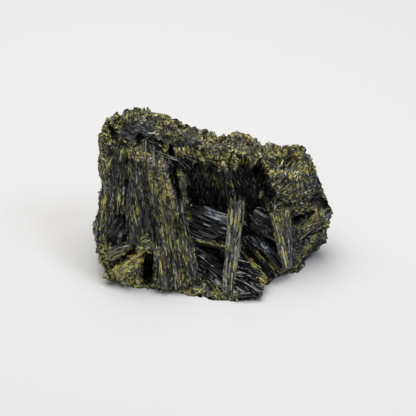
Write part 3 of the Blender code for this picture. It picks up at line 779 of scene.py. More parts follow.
def curveShares(wanted, known, closed=False):
    # Each wanted place as shares of the known ones, by the cubic curve that goes through them with
    # a slope of half the step between each one's neighbours
    count = len(known)
    index = np.clip(np.searchsorted(known, wanted) - 1, 0, count - 1 if closed else count - 2)
    step = 1.0 if closed else known[index + 1] - known[index]
    t = (wanted - known[index]) / step
    if closed:
        before, after, later = (index - 1) % count, (index + 1) % count, (index + 2) % count
    else:
        before, after, later = np.maximum(index - 1, 0), index + 1, np.minimum(index + 2, count - 1)
    leave, arrive = t ** 3 - 2 * t ** 2 + t, t ** 3 - t ** 2
    shares = np.zeros((len(wanted), count))
    rows = np.arange(len(wanted))
    np.add.at(shares, (rows, index), 2 * t ** 3 - 3 * t ** 2 + 1 - arrive / 2)
    np.add.at(shares, (rows, after), 3 * t ** 2 - 2 * t ** 3 + leave / 2)
    np.add.at(shares, (rows, before), -leave / 2)
    np.add.at(shares, (rows, later), arrive / 2)
    return shares


def evenSection(corners, sides):
    # Evenly spaced points on the closed outline through the corners
    loop = np.vstack([corners, corners[:1]])
    walked = walkedLengths(loop)
    wanted = np.arange(sides) / sides * walked[-1]
    return np.column_stack([np.interp(wanted, walked, loop[:, k]) for k in (0, 1)])


def rockControl():
    # The frame's own coarse rings: stations blended along X, caps at both ends, pushed by noise
    known = np.array(list(rock["stations"]), float)
    table = np.array(list(rock["stations"].values()), float)
    xs = np.linspace(known[0], known[-1], rock["rings"])
    sections = np.einsum("rs,sck->rck", curveShares(xs, known), table)
    rings = []
    for x, corners in zip(xs, sections):
        section = evenSection(corners, rock["sides"])
        rings.append(np.column_stack([np.full(rock["sides"], x), section]))
    for rim, outwards in ((rings[0], -1), (rings[-1], 1)):
        for step, share in enumerate(rock["capShares"], 1):
            inner = rim.mean(axis=0) + (rim - rim.mean(axis=0)) * share
            inner[:, 0] += outwards * rock["capBulge"] * step / len(rock["capShares"])
            rings.insert(0 if outwards < 0 else len(rings), inner)
    rings = np.array(rings)
    moved = rings.copy()
    # The frame's rock is pushed by this noise, which takes one of the few coarse points at a time
    for size, amount in rock["bumps"]:
        push = [
            [noise.noise(Vector(p) / size + Vector(apart)) for apart in rock["noiseApart"]]
            for p in rings.reshape(-1, 3)
        ]
        moved += np.array(push).reshape(rings.shape) * amount
    ends = [np.repeat(ring.mean(axis=0)[None, :], rock["sides"], axis=0) for ring in (moved[0], moved[-1])]
    return np.concatenate([ends[:1], moved, ends[1:]])


def makeRock():
    # Surface of two parameters, ring and place round it: the cubic surface through the control
    # rings, moved along its normal by facet relief of two sizes, then moulded
    control = rockControl()
    along = curveShares(np.linspace(0, len(control) - 1, rock["fineRings"]), np.arange(len(control)))
    places = np.arange(rock["fineSides"]) / rock["fineSides"] * rock["sides"]
    around = curveShares(places, np.arange(rock["sides"]), closed=True)
    grid = np.einsum("ri,sj,ijk->rsk", along, around, control)
    steps = (np.gradient(grid, axis=0), (np.roll(grid, -1, axis=1) - np.roll(grid, 1, axis=1)) / 2)
    normal = unit(np.cross(*steps))
    outwards = grid - grid.mean(axis=1, keepdims=True)
    if (normal * outwards).sum() < 0:
        normal = -normal
    points = grid.reshape(-1, 3)
    normals = normal.reshape(-1, 3)
    share, zoneTone = crustShare(points)[:2]
    lift = np.zeros(len(points))
    for size, height, seed in rock["relief"]:
        lift += facetRelief(points, size, seed) * height
    points, hidden = moulded(points + normals * lift[:, None])
    points[:, 2] = np.maximum(points[:, 2], 0)
    tone = rock["bareTone"] * (1 - share) + zoneTone * share
    # painted light on the relief's rises, painted shade in its hollows and in the clefts
    tone += patches(points) * rock["patchTone"] + lift * rock["reliefShade"] - hidden * rock["caveShade"]
    tones = np.stack([tone, share], axis=-1)
    rings, sides = rock["fineRings"], rock["fineSides"]
    field = {
        "points": points.reshape(rings, sides, 3), "normals": normal, "steps": steps,
        "hidden": hidden.reshape(rings, sides),
    }
    body = field["points"][None, 1:-1]
    return tubes(body, tones.reshape(1, rings, sides, 2)[:, 1:-1]), field


rockShape, rockField = makeRock()
putMesh("massive_rock", rockShape, sugaryEpidote)


# Sprays of side-by-side blades and single crystals, where the frame has them

# Each spray: corners rootA, rootB, tipA and tipB, the count, the thickness behind the face, the way
# that the face looks and how ragged the tips are
sprays = {
    "slab_left": (
        [(-30.6, -8.4, 13), (-24.6, -10, 12.5), (-28.8, 0, 35.6), (-22.4, -0.5, 36.4)],
        4, 6, (0, -1, 0.3), 0.8,
    ),
    "slab_middle": (
        [(-21.0, -11.4, 12), (-13.6, -13.4, 1.5), (-22.2, -0.5, 36.4), (-17.0, -0.8, 36)],
        4, 6, (0, -1, 0.3), 0.8,
    ),
    "slab_right": (
        [(-13.6, -13.4, 1.5), (-4.0, -13.6, 3.2), (-17.0, -0.8, 36), (-12.4, -2.2, 32.8)],
        5, 5, (0, -1, 0.3), 1.2,
    ),
    "slab_edge": (
        [(-30.4, -6.6, 11), (-30.8, 4.5, 8), (-28.8, 0.5, 34), (-29.2, 8.5, 35.4)],
        3, 5, (-1, 0, 0.1), 0.5,
    ),
    "crest_hollow": (
        [(-25.0, 8, 39.2), (-24.5, 1.5, 37.6), (-14.5, 7, 37.1), (-13.5, 1, 34.8)],
        4, 3, (0, -0.4, 1), 1.2,
    ),
    "inner_blade": (
        [(-8.2, -1.6, 13), (-7.2, -4.2, 12), (-9.2, -0.2, 30.2), (-8.0, -2.2, 29.4)],
        2, 3, (1, -1, 0), 0.6,
    ),
    "cavity_wall": ([(-6, 6.6, 29), (12, 4.6, 25), (-6, 3.4, 8), (12, 0.6, 9)], 7, 4, (0, -1, 0), 2.0),
    "plate_a": (
        [(-8, -1.6, 20.8), (-8, -6.0, 11.3), (5.4, -4.4, 16.4), (5.0, -8.2, 10.0)],
        4, 2.4, (0, -1, 0.7), 0.8,
    ),
    "plate_b": (
        [(-6, -6.5, 10.6), (-6, -10.5, 3.6), (6, -11.4, 4.4), (1.8, -14.8, 0.8)],
        4, 2.4, (0, -1, 0.7), 0.8,
    ),
    "plate_c": (
        [(10.6, -1.5, 18), (10.6, -4.0, 13.6), (17.6, -4.2, 15.4), (17.6, -6.2, 10.8)],
        2, 2.4, (0, -1, 0.5), 0.8,
    ),
    "plate_d": (
        [(19.4, -9.0, 4.4), (16.4, -11.4, 2.6), (12.4, -4.6, 12.2), (8.6, -6.4, 10.4)],
        4, 2.6, (0, -1, 0.8), 1.0,
    ),
    "plate_e": (
        [(5.8, -10.0, 10.4), (5.4, -17.0, 1.6), (13.8, -12.8, 4.4), (13.2, -16.2, 1.2)],
        4, 2.4, (0, -1, 0.6), 0.8,
    ),
    "plate_f": (
        [(21.4, -2.4, 11.2), (20.4, -4.8, 1.4), (32.0, 0.2, 12.2), (27.0, -2.0, 2.6)],
        5, 3.2, (0.3, -1, 0.2), 0.6,
    ),
    "back_left": (
        [(-25, 16.2, 2), (-9, 18.0, 0), (-27, 11.5, 37), (-17, 15.3, 38)],
        5, 5, (0, 1, 0.15), 1.6,
    ),
    "back_middle": ([(-14, 18.5, 9), (-3, 18.0, 2), (-6, 16, 32), (4, 15, 29.2)], 5, 5, (0, 1, 0.1), 1.6),
    "back_low": ([(-6, 17.5, 0.5), (16, 14, 0.5), (-2, 18, 15), (16, 14.6, 12)], 5, 5, (0, 1, 0), 2.4),
    "back_right": (
        [(4, 16.8, 10), (14, 14.4, 7), (5, 15.0, 29.8), (21, 10.5, 27.8)],
        5, 5, (0, 1, 0.1), 1.6,
    ),
    "right_flank": ([(26.5, 0, 3), (18, 12.5, 0.5), (30.0, 3, 17), (25, 9.5, 26)], 5, 5, (1, 0.5, 0), 1.0),
}
# Single crystals: root, tip, width, thickness and the way that the broad face looks
prisms = {
    "column": ((4.0, -15.0, 0.8), (6.0, -9.2, 25.8), 3.5, 3.3, (-0.35, -1, 0.3)),
    "grey_prism": ((19.8, -8.4, 3.0), (18.6, -4.2, 19.8), 3.9, 3.4, (0.1, -1, 0.1)),
    "gold_prism": ((19.4, -9.6, 4.4), (15.6, -5.6, 19.6), 1.5, 2.6, (-0.6, -1, 0.1)),
    "flank_block": ((22.6, -3.4, 10.2), (31.0, 0.4, 17.0), 3.6, 3.4, (0.1, -1, 0.4)),
    "low_blade": ((-27.6, -10.6, 9.0), (-16.4, -11.8, 14.6), 4.2, 3.6, (0, -1, 0.5)),
    "gold_blade": ((-25.8, -12.8, 4.6), (-17.8, -13.0, 12.8), 4.0, 3.2, (-0.3, -1, 0.3)),
}
# Needles with no blade under them: the streaks over the vug, painted pale as glints, and the sheaf in the
# left hollow
loose = {
    "vug_streaks": (
        [(-16.0, 1.2, 35.9), (-16.4, 0.2, 34.8), (-9.2, -0.4, 33.2), (-11.2, -1.4, 30.8)],
        1, 0, (0.3, -0.8, 0.6), 0,
    ),
    "vug_streaks_low": (
        [(-9.2, 1.6, 33.9), (-9.8, 1.0, 32.8), (-4.0, 0.8, 31.2), (-5.8, 0.2, 29.4)],
        1, 0, (0.3, -0.8, 0.6), 0,
    ),
    "hollow_sheaf": (
        [(-29.4, -8.6, 14.4), (-26.2, -9.8, 10.4), (-26.6, -6.6, 20.6), (-22.0, -8.0, 17.4)],
        1, 0, (0, -1, 0.3), 0,
    ),
}
blade = {
    "overlap": 1.28,        # width of a blade over the room that it has in its spray
    "ridge": 0.4,           # height of the two blunt ridges on its face
    "backShare": 0.8,       # width of its back over that of its face
    "out": (-0.45, 0.45),   # how far it stands out of the spray's face
    "tipOut": (-0.3, 0.3),  # and its tip more than its root
    "reach": (-0.6, 1.0),   # past the tips' edge, times how ragged the spray is
    "turn": (-9, 9),        # degrees about its own axis
    "slant": (-0.5, 0.5),   # of its end
    "tipLean": 0.3,
    "corners": 30,
    "growthLines": 0.12,    # depth of the fine growth lines on the face
    "linesApart": 0.8,      # how much they differ, and how much each changes from ring to ring
    "linesWander": 0.25,
    "stations": 12,
    "brokenEnd": 0.35,      # how uneven the broken end is
    "endShare": 0.5,        # width of the ring inside the broken end
    "rootShare": 0.9,       # width of a single crystal's root over that of its tip
    "prismSlant": 0.2,
    "toneSpread": 0.05,
}


def nameSeed(name):
    # The sum of the letters' numbers, as the frame's own blades use
    return sum(map(ord, name))


def bladeSet(root, tip, facing, widths, thickness, slant, overlap):
    # The blades' arrays, with unit vectors along them, across them and out of their broad faces
    axis = unit(tip - root)
    side = unit(np.cross(axis, facing))
    return {
        "root": root, "tip": tip, "widths": widths, "thickness": float(thickness), "slant": slant,
        "axis": axis, "side": side, "front": unit(np.cross(side, axis)), "overlap": overlap,
    }


def bladesOf(name):
    # A spray's blades where the frame has them: each takes its place between the two edges, a
    # small step out, a reach past the tip edge and a small turn about its own axis
    if name in prisms:
        root, tip, width, thickness, facing = prisms[name]
        widths = np.array([[width * blade["rootShare"], width]])
        root, tip, facing = (np.array([v], float) for v in (root, tip, facing))
        return bladeSet(root, tip, facing, widths, thickness, np.array([blade["prismSlant"]]), 1.0)
    corners, count, thickness, facing, ragged = (sprays | loose)[name]
    rootA, rootB, tipA, tipB = np.array(corners, float)
    chance = np.random.default_rng(nameSeed(name))
    out = unit(np.array(facing, float))
    roots, tips, facings, slants = [], [], [], []
    for k in range(count):
        t = (k + 0.5) / count
        root, tip = rootA + (rootB - rootA) * t, tipA + (tipB - tipA) * t
        axis = unit(tip - root)
        step = chance.uniform(*blade["out"])
        reach = chance.uniform(*blade["reach"]) * ragged
        turn = Matrix.Rotation(math.radians(chance.uniform(*blade["turn"])), 3, Vector(axis))
        roots.append(root + out * step)
        tips.append(tip + out * (step + chance.uniform(*blade["tipOut"])) + axis * reach)
        facings.append(np.array(turn @ Vector(out)))
        slants.append(chance.uniform(*blade["slant"]))
    widths = [np.linalg.norm(b - a) / count * blade["overlap"] for a, b in ((rootA, rootB), (tipA, tipB))]
    return bladeSet(
        np.array(roots), np.array(tips), np.array(facings), np.tile(widths, (count, 1)), thickness,
        np.array(slants), blade["overlap"],
    )


def ridgeHeight(share):
    # The frame's blunt ridges: highest a quarter of the way in from each side
    return blade["ridge"] * (np.interp(np.abs(share), [0, 0.25, 0.5], [0, 1, 0]) - np.abs(share))


def bladeOutline(width, thickness):
    # Evenly spaced corners round a blade of that mean width, as shares (across, back) with the
    # ridged front first: across runs -0.5 to 0.5, back runs 0 at the front to 1
    half = 0.5 * blade["backShare"]
    loop = np.array([(-0.5, 0), (0.5, 0), (half, 1), (-half, 1), (-0.5, 0)])
    walked = walkedLengths(loop * (width, thickness))
    wanted = (np.arange(blade["corners"]) + 0.5) / blade["corners"] * walked[-1]
    wanted[np.argmin(np.abs(wanted - walked[1]))] = walked[1]
    return np.column_stack([np.interp(wanted, walked, loop[:, k]) for k in (0, 1)])


def bladeCores(name, baseTone):
    # Each blade as a closed prism: the outline with ridges in front and growth lines all round that
    # wander slowly along it, carried from root to tip, with a broken end
    made = bladesOf(name)
    count = len(made["root"])
    chance = np.random.default_rng(nameSeed(name) + 1)
    outline = bladeOutline(made["widths"].mean(), made["thickness"])
    corners = len(outline)
    s = np.linspace(0, 1, blade["stations"])
    lines = chance.uniform(-1, 1, (count, 1, corners)) * blade["linesApart"]
    wander = np.cumsum(chance.normal(0, blade["linesWander"], (count, len(s), corners)), axis=1)
    push = blade["growthLines"] * (lines + wander)
    width = made["widths"][:, :1] * (1 - s) + made["widths"][:, 1:] * s
    away = unit(np.column_stack([outline[:, 0], 0.5 - outline[:, 1]]))
    ridge = ridgeHeight(outline[:, 0]) * (1 - outline[:, 1])
    x = width[:, :, None] * outline[:, 0] + push * away[:, 0]
    y = ridge - made["thickness"] * outline[:, 1] + push * away[:, 1]
    spine = made["root"][:, None] * (1 - s[:, None]) + made["tip"][:, None] * s[:, None]
    body = (
        spine[:, :, None] + made["side"][:, None, None] * x[..., None]
        + made["front"][:, None, None] * y[..., None]
    )
    lean = x[:, -1] * made["slant"][:, None] + y[:, -1] * blade["tipLean"]
    body[:, -1] += made["axis"][:, None] * lean[..., None]
    rim = body[:, -1:]
    middle = rim.mean(axis=2, keepdims=True)
    inner = middle + (rim - middle) * blade["endShare"]
    broken = chance.uniform(-1, 1, (count, 1, corners, 1)) * blade["brokenEnd"]
    inner = inner + made["axis"][:, None, None] * broken
    body, hidden = moulded(np.concatenate([body, inner], axis=1))
    share, zoneTone = crustShare(body.reshape(-1, 3))[:2]
    tone = baseTone + chance.uniform(-1, 1, (count, 1, 1)) * blade["toneSpread"]
    tone = np.broadcast_to(tone, body.shape[:3]).ravel()
    # painted shade darkens the blade where a cleft hides it
    tone = tone * (1 - share) + zoneTone * share - hidden.ravel() * rock["caveShade"]
    return tubes(body, np.stack([tone, share], axis=-1).reshape(*body.shape[:3], 2))


# Needles and fibres, on the blades and elsewhere

lath = {
    "angles": (90, 210, 330),      # a three-sided needle, one edge on top
    "stations": (0.0, 0.1, 0.5, 0.9, 1.0),
    "flatness": (0.55, 1.0),       # depth over width
    "footSwell": 0.4,              # width at the foot, the middle and the tip
    "middleSwell": (0.9, 1.2),
    "tipSwell": (0.15, 0.6),
    "patchSway": 1.3,              # how strongly the crust's clumps choose the needles
    "stainSteepness": 4,
    "crustSpread": 0.32,           # how much the tones of the crusted ones differ
    "glintedShare": 0.6,             # how many of the needles at the painted glints are paler
    "swayPlaces": (4, 2.5, 0.37),  # steps in the sway noise: across, along, per spray
    "swaySeed": 71,
    "lastShare": 0.9999,           # keeps a needle's share on the last blade
}


def fibreTones(spine, depth, hidden, look, chance):
    # At each ring the look's own tone, with painted shade on needles that lie deep and painted glints
    # at the pale ends, changing to the crust's tone where the crust has spread over them, and painted
    # shade in caves; and how crusted the ring is
    count, rings = spine.shape[:2]
    places = spine.reshape(-1, 3)
    share, zoneTone = crustShare(places)[:2]
    luck = np.repeat(chance.uniform(0, 1, count), rings)
    patchiness = patches(places)
    swayed = 1 + lath["patchSway"] * patchiness
    crusted = ease((share * look["stain"] * swayed - luck) * lath["stainSteepness"])
    # painted shade on the needles that lie deepest
    own = look["tone"] + chance.normal(0, look["toneSpread"], count) + look["depthShade"] * (depth - 0.5)
    own = np.repeat(own, rings)
    # painted glints: bare needles near each line are painted paler
    for line, reach, paler in paintedGlints.values():
        own = own + ease(1 - lineDistance(places, line) / reach) * paler * (luck < lath["glintedShare"])
    spread = np.repeat(chance.normal(0, lath["crustSpread"], count), rings)
    tone = own * (1 - crusted) + (zoneTone + spread) * crusted
    # painted shade in the clefts
    tone = tone + patchiness * look["patchTone"] - hidden.ravel() * rock["caveShade"]
    crusted = np.maximum(crusted, np.clip(look["crust"] * swayed, 0, 1))
    return np.stack([tone, crusted], axis=-1).reshape(count, rings, 1, 2)


def laths(start, end, outward, depth, look, chance, hidden=None):
    # Needles from start to end: point = start + (end - start) s + bend 4s(1 - s) + profile x swell,
    # each turned a little about its own axis, thin at the foot and chisel-shaped at the tip
    count = len(start)
    axis = unit(end - start)
    plain = unit(np.cross(axis, outward))
    up = np.cross(plain, axis)
    turn = np.radians(chance.normal(0, look["turn"], count))[:, None]
    side = plain * np.cos(turn) + up * np.sin(turn)
    front = np.cross(side, axis)
    halfWidth = chance.uniform(*look["width"], count) / 2
    halfDepth = halfWidth * chance.uniform(*lath["flatness"], count)
    angles = np.radians(lath["angles"])
    s = np.array(lath["stations"])
    swell = np.ones((count, len(s)))
    swell[:, 0] = lath["footSwell"]
    swell[:, 2] = chance.uniform(*lath["middleSwell"], count)
    swell[:, -1] = chance.uniform(*lath["tipSwell"], count)
    bend = up * chance.normal(*look["bend"], count)[:, None]
    spine = (
        start[:, None] * (1 - s[:, None]) + end[:, None] * s[:, None]
        + bend[:, None] * (4 * s * (1 - s))[:, None]
    )
    if hidden is None:
        hidden = np.zeros(spine.shape[:2])
    if look["moulded"]:
        spine, hidden = moulded(spine)
    x = np.cos(angles) * halfWidth[:, None]
    y = np.sin(angles) * halfDepth[:, None]
    body = spine[:, :, None] + swell[:, :, None, None] * (
        side[:, None, None] * x[:, None, :, None] + front[:, None, None] * y[:, None, :, None]
    )
    return tubes(body, fibreTones(spine, depth, hidden, look, chance))


def fibres(name, look):
    # Needles on a spray's faces. Each has its share a across the whole spray and s along it at both
    # ends: the second is a + (s1 - s0) x (fan x (a - 1/2) + sway x soft noise), so the needles spread
    # like a fan and sway together. Some stand on the outer side walls.
    made = bladesOf(name)
    count0 = len(made["root"])
    chance = np.random.default_rng(nameSeed(name) + 2)
    length = np.linalg.norm(made["tip"] - made["root"], axis=1)
    area = (length * made["widths"].mean(axis=1)).sum() / made["overlap"]
    count = int(area * look["perArea"])
    wall = chance.choice(4, count, p=look["walls"])     # front, the last blade's side, the first's, back
    across = chance.uniform(0, 1, count)
    reach = chance.uniform(*look["length"], count)
    s0 = chance.uniform(-look["overRoot"], 1 + look["overTip"] - reach * look["endBias"])
    s1 = np.minimum(s0 + reach, 1 + chance.uniform(0, look["overTip"], count))
    perAcross, perAlong, perSpray = lath["swayPlaces"]
    apart = np.full(count, nameSeed(name) * perSpray)
    places = np.column_stack([across * perAcross, s0 * perAlong, apart])
    sway = look["sway"] * softNoise(places, 1.0, lath["swaySeed"])
    slide = (s1 - s0) * (look["fan"] * (across - 0.5) + sway + chance.normal(0, look["drift"], count))
    depth = chance.uniform(0, 1, count)
    rise0 = look["lift"][0] + (look["lift"][1] - look["lift"][0]) * depth
    rise1 = rise0 + chance.uniform(*look["tipRise"], count)
    lastSide = 1.0
    if count0 > 1:
        lastSide = np.sign(made["side"][0] @ (made["root"][-1] - made["root"][0]))

    def spot(s, a, rise):
        # Root to tip by s, on the blade that the share a falls on: across it by the rest of the
        # share times its width, and out of it by its ridge plus the rise
        a = np.clip(a, 0.0, lath["lastShare"])
        on = (a * count0).astype(int)
        share = (a * count0 - on - 0.5) / made["overlap"] * lastSide
        on = np.select([wall == 1, wall == 2], [count0 - 1, 0], on)
        width = made["widths"][on, 0] * (1 - s) + made["widths"][on, 1] * s
        wallSide = np.where(wall == 1, lastSide, -lastSide)
        sideShare = 0.5 - (1 - blade["backShare"]) / 2 * a
        faces = [wall == 0, wall == 3]
        thickness = made["thickness"]
        x = np.select(
            faces, [share * width, share * width * blade["backShare"]],
            wallSide * (sideShare * width + rise),
        )
        y = np.select(faces, [ridgeHeight(share) + rise, -thickness - rise], -thickness * a)
        spine = made["root"][on] * (1 - s[:, None]) + made["tip"][on] * s[:, None]
        return spine + made["side"][on] * x[:, None] + made["front"][on] * y[:, None], on, wallSide

    start, on, wallSide = spot(s0, across, rise0)
    end = spot(s1, across + slide, rise1)[0]
    outward = np.select(
        [(wall == 0)[:, None], (wall == 3)[:, None]],
        [made["front"][on], -made["front"][on]], made["side"][on] * wallSide[:, None],
    )
    # painted light and shade by the wall that a needle stands on, carried in its depth
    depth = depth + np.array(look["sideShading"])[wall] / look["depthShade"]
    return laths(start, end, outward, depth, look, chance)


# Lengths are shares of the blades' own, and ways to the side are shares of the spray's width
slabLook = {
    "perArea": 5.2,                   # needles for each square mm
    "walls": (0.8, 0.08, 0.1, 0.02),  # their shares: front, last blade's side, first one's, back
    "length": (0.05, 0.24),
    "overRoot": 0.02,                 # how far they may start before the roots
    "overTip": 0.02,                  # and end past the tips
    "endBias": 0.95,                  # how much of a needle lies before the tips at least
    "lift": (-0.15, 0.55),            # mm over the face at the needle's root
    "tipRise": (-0.3, 0.16),          # and how much more at its tip
    "drift": 0.12,                    # to the side, each by itself
    "fan": 0.4,                       # away from the spray's middle
    "sway": 0.6,                      # together with its neighbours
    "turn": 34,                       # degrees about its own axis
    "width": (0.28, 0.85),
    "bend": (0.0, 0.06),              # its mean and spread
    "tone": 0.2,
    "toneSpread": 0.19,
    "depthShade": 0.5,                 # painted shade: how much lighter the highest are than the lowest, which lie under them
    "sideShading": (0, 0, 0.06, 0),      # painted light and shade: what each wall adds, by the way it faces
    "patchTone": 0.14,                # what the crust's clumps add
    "stain": 0.9,                     # how easily the crust takes a needle
    "crust": 0.12,                    # how crusted they are at least
    "moulded": True,                  # whether moulds and clefts move them
}
needleLook = slabLook | {
    "perArea": 4.4, "walls": (0.88, 0.06, 0.04, 0.02), "length": (0.2, 0.8),
    "overRoot": 0.0, "overTip": 0.04, "endBias": 0.9, "lift": (-0.1, 0.5), "tipRise": (-0.1, 0.8),
    "drift": 0.1, "fan": 0.45, "sway": 0.45, "width": (0.2, 0.52), "bend": (-0.25, 0.16),
    "tone": 0.03, "toneSpread": 0.15, "depthShade": 0.24, "stain": 1.0, "sideShading": (0, 0.1, 0.05, 0),
    "crust": 0.0, "patchTone": 0.0,
}
# prisms get painted shade on the last blade's side wall
prismLook = slabLook | {
    "perArea": 5.0, "walls": (0.42, 0.22, 0.22, 0.14), "overTip": 0.03, "lift": (-0.25, 0.14),
    "tipRise": (-0.1, 0.06), "drift": 0.08, "fan": 0.0, "sway": 0.2, "turn": 30, "width": (0.3, 0.7),
    "bend": (0.0, 0.03), "tone": 0.5, "toneSpread": 0.24, "depthShade": 0.35, "stain": 0.8,
    "sideShading": (0, -0.28, 0, 0), "crust": 0.5, "patchTone": 0.18,
}
wallLook = needleLook | {
    "perArea": 3.0, "length": (0.04, 0.2), "overRoot": 0.1, "tone": -0.05, "toneSpread": 0.1,
    "fan": 0.3, "sway": 0.8, "stain": 0.6, "drift": 0.3,
}
hollowLook = needleLook | {
    "perArea": 0.6, "length": (0.5, 1.0), "tone": 0.3, "toneSpread": 0.26, "width": (0.12, 0.2),
    "lift": (-0.9, 0.5), "moulded": False,
}
backLook = slabLook | {"perArea": 2.2, "width": (0.3, 0.9), "length": (0.08, 0.4)}
crestLook = slabLook | {"tone": 0.28, "width": (0.25, 0.5)}
# Tone and least crust of the sprays and crystals that differ from their look
ownTones = {
    # the vug streaks' pale tones are painted glints
    "vug_streaks": (0.7, 0.0), "vug_streaks_low": (0.55, 0.0),
    "plate_b": (0.03, 0.0), "plate_c": (-0.1, 0.0), "plate_e": (0.04, 0.0), "plate_f": (0.08, 0.2),
    "column": (0.62, 0.52), "grey_prism": (0.46, 0.2), "gold_prism": (0.84, 1.0),
    "flank_block": (0.4, 0.5), "low_blade": (0.42, 0.36), "gold_blade": (0.82, 1.0),
    "inner_blade": (0.3, 0.4), "slab_left": (0.15, 0.1), "slab_middle": (0.17, 0.12),
}
slabNames = ["slab_left", "slab_middle", "slab_right", "slab_edge", "inner_blade"]
plateNames = ["plate_a", "plate_b", "plate_d", "plate_e"]
backNames = ["back_left", "back_middle", "back_low", "back_right", "right_flank"]
# Each mesh: its sprays or crystals, their material and look, and the tone of the blades themselves
fanPieces = {
    "slab_fibres": (slabNames, fibrousEpidote, slabLook, 0.2),
    "crest_needles": (["crest_hollow"], fibrousEpidote, crestLook, 0.2),
    "vug_needles": (plateNames, glassyEpidote, needleLook, 0.1),
    "vug_wall": (["cavity_wall", "plate_c"], fibrousEpidote, wallLook, 0.06),
    "flank_fibres": (["plate_f"], fibrousEpidote, slabLook | {"fan": 0.8}, 0.12),
    "free_needles": (list(loose), fibrousEpidote, hollowLook, 0.1),
    "prisms": (list(prisms), fibrousEpidote, prismLook, 0.4),
    "back_fibres": (backNames, fibrousEpidote, backLook, 0.26),
}


def makeFans(pieceName, names, material, look, coreTone):
    # Cores and needles of several sprays in one mesh
    shapes = [bladeCores(name, coreTone) for name in names if name not in loose]
    shapes += [fibres(name, look | dict(zip(("tone", "crust"), ownTones.get(name, ())))) for name in names]
    shape = joinShapes(shapes)
    putMesh(pieceName, shape, material)
    return shape


fanShapes = {pieceName: makeFans(pieceName, *settings) for pieceName, settings in fanPieces.items()}


# Fibres that lie on the rock itself

# Each flow: its line, its reach, the way that the fibres run, how many, their tone and its spread
rockFlows = {
    "shoulder": ([(13, 0.6, 20.5), (18, 0.6, 24.5), (25, 3, 27)], 6.0, (0.72, 0.1, 0.6), 1900, 0.27, 0.34),
    "cheek": ([(16, -1.4, 19), (27, 0.6, 19)], 4.0, (0.8, 0.1, 0.35), 750, 0.3, 0.32),
    "underBrow": ([(-12, 2, 32), (0, 4.4, 27), (12, 3, 26)], 4.5, (-0.25, -0.1, 1.0), 1300, 0.06, 0.16),
    "leftSide": ([(-31, 2, 10), (-30.4, 4, 30)], 9.0, (0.06, 0.15, 1.0), 1300, 0.5, 0.18),
}
rockLath = slabLook | {
    "width": (0.22, 0.68), "bend": (0.0, 0.1), "lengthMm": (0.7, 2.6), "riseMm": (-0.15, 0.5),
    "depthShade": 0.6, "crust": 0.36, "patchTone": 0.24,
}
rockWay = {
    "steepness": 1.8,       # how steeply the fibres thin out away from the line
    "ends": (12, 13),       # rings at the rock's ends where none starts
    "wander": (4.0, 1.3),   # size and amount of the noise that turns them
    "wanderSeeds": (81, 82, 83),
    "drift": 0.12,
    "mostSteps": (14, 20),  # of the grid, along and round
}


def rockFibres(name):
    # Start at a grid point drawn by nearness to the line; the end is the grid point that lies one
    # length along the flow, found by solving flow = di x ring step + dj x side step
    line, reach, flow, count, tone, spread = rockFlows[name]
    chance = np.random.default_rng(nameSeed(name))
    points = rockField["points"]
    rings, sides = points.shape[:2]
    flat = points.reshape(-1, 3)
    share = ease((1 - lineDistance(flat, line) / reach) * rockWay["steepness"])
    stepI, stepJ = (step.reshape(-1, 3) for step in rockField["steps"])
    weight = share * np.linalg.norm(np.cross(stepI, stepJ), axis=1)
    ring = np.arange(rings * sides) // sides
    weight = weight * (ring > rockWay["ends"][0]) * (ring < rings - rockWay["ends"][1])
    drawn = chance.choice(len(weight), count, p=weight / weight.sum())
    size, amount = rockWay["wander"]
    wander = np.stack([softNoise(flat[drawn], size, seed) for seed in rockWay["wanderSeeds"]], axis=-1)
    way = unit(np.array(flow) + wander * amount + chance.normal(0, rockWay["drift"], (count, 3)))
    way = way * chance.uniform(*rockLath["lengthMm"], (count, 1))
    ii = (stepI[drawn] ** 2).sum(axis=1)
    jj = (stepJ[drawn] ** 2).sum(axis=1)
    ij = (stepI[drawn] * stepJ[drawn]).sum(axis=1)
    wi = (stepI[drawn] * way).sum(axis=1)
    wj = (stepJ[drawn] * way).sum(axis=1)
    solid = np.maximum(ii * jj - ij ** 2, 1e-9)
    mostI, mostJ = rockWay["mostSteps"]
    di = np.clip((wi * jj - wj * ij) / solid, -mostI, mostI)
    dj = np.clip((wj * ii - wi * ij) / solid, -mostJ, mostJ)
    i0, j0 = drawn // sides, drawn % sides
    i1 = np.clip(np.rint(i0 + di), 2, rings - 3).astype(int)
    j1 = np.rint(j0 + dj).astype(int) % sides
    normal = rockField["normals"][i0, j0]
    depth = chance.uniform(0, 1, (2, count))
    rise = rockLath["riseMm"][0] + (rockLath["riseMm"][1] - rockLath["riseMm"][0]) * depth[..., None]
    start = points[i0, j0] + normal * rise[0]
    end = points[i1, j1] + rockField["normals"][i1, j1] * rise[1]
    look = rockLath | {"tone": tone, "toneSpread": spread, "moulded": False}
    hidden = np.stack([rockField["hidden"][i0, j0], rockField["hidden"][i1, j1]], axis=1)
    hidden = hidden[:, :1] + (hidden[:, 1:] - hidden[:, :1]) * np.array(lath["stations"])
    return laths(start, end, normal, depth.mean(axis=0), look, chance, hidden)


rockFibreShape = joinShapes([rockFibres(name) for name in rockFlows])
putMesh("rock_fibres", rockFibreShape, fibrousEpidote)


# Knobs: the stubby crystals that the crust's larger lumps are made of

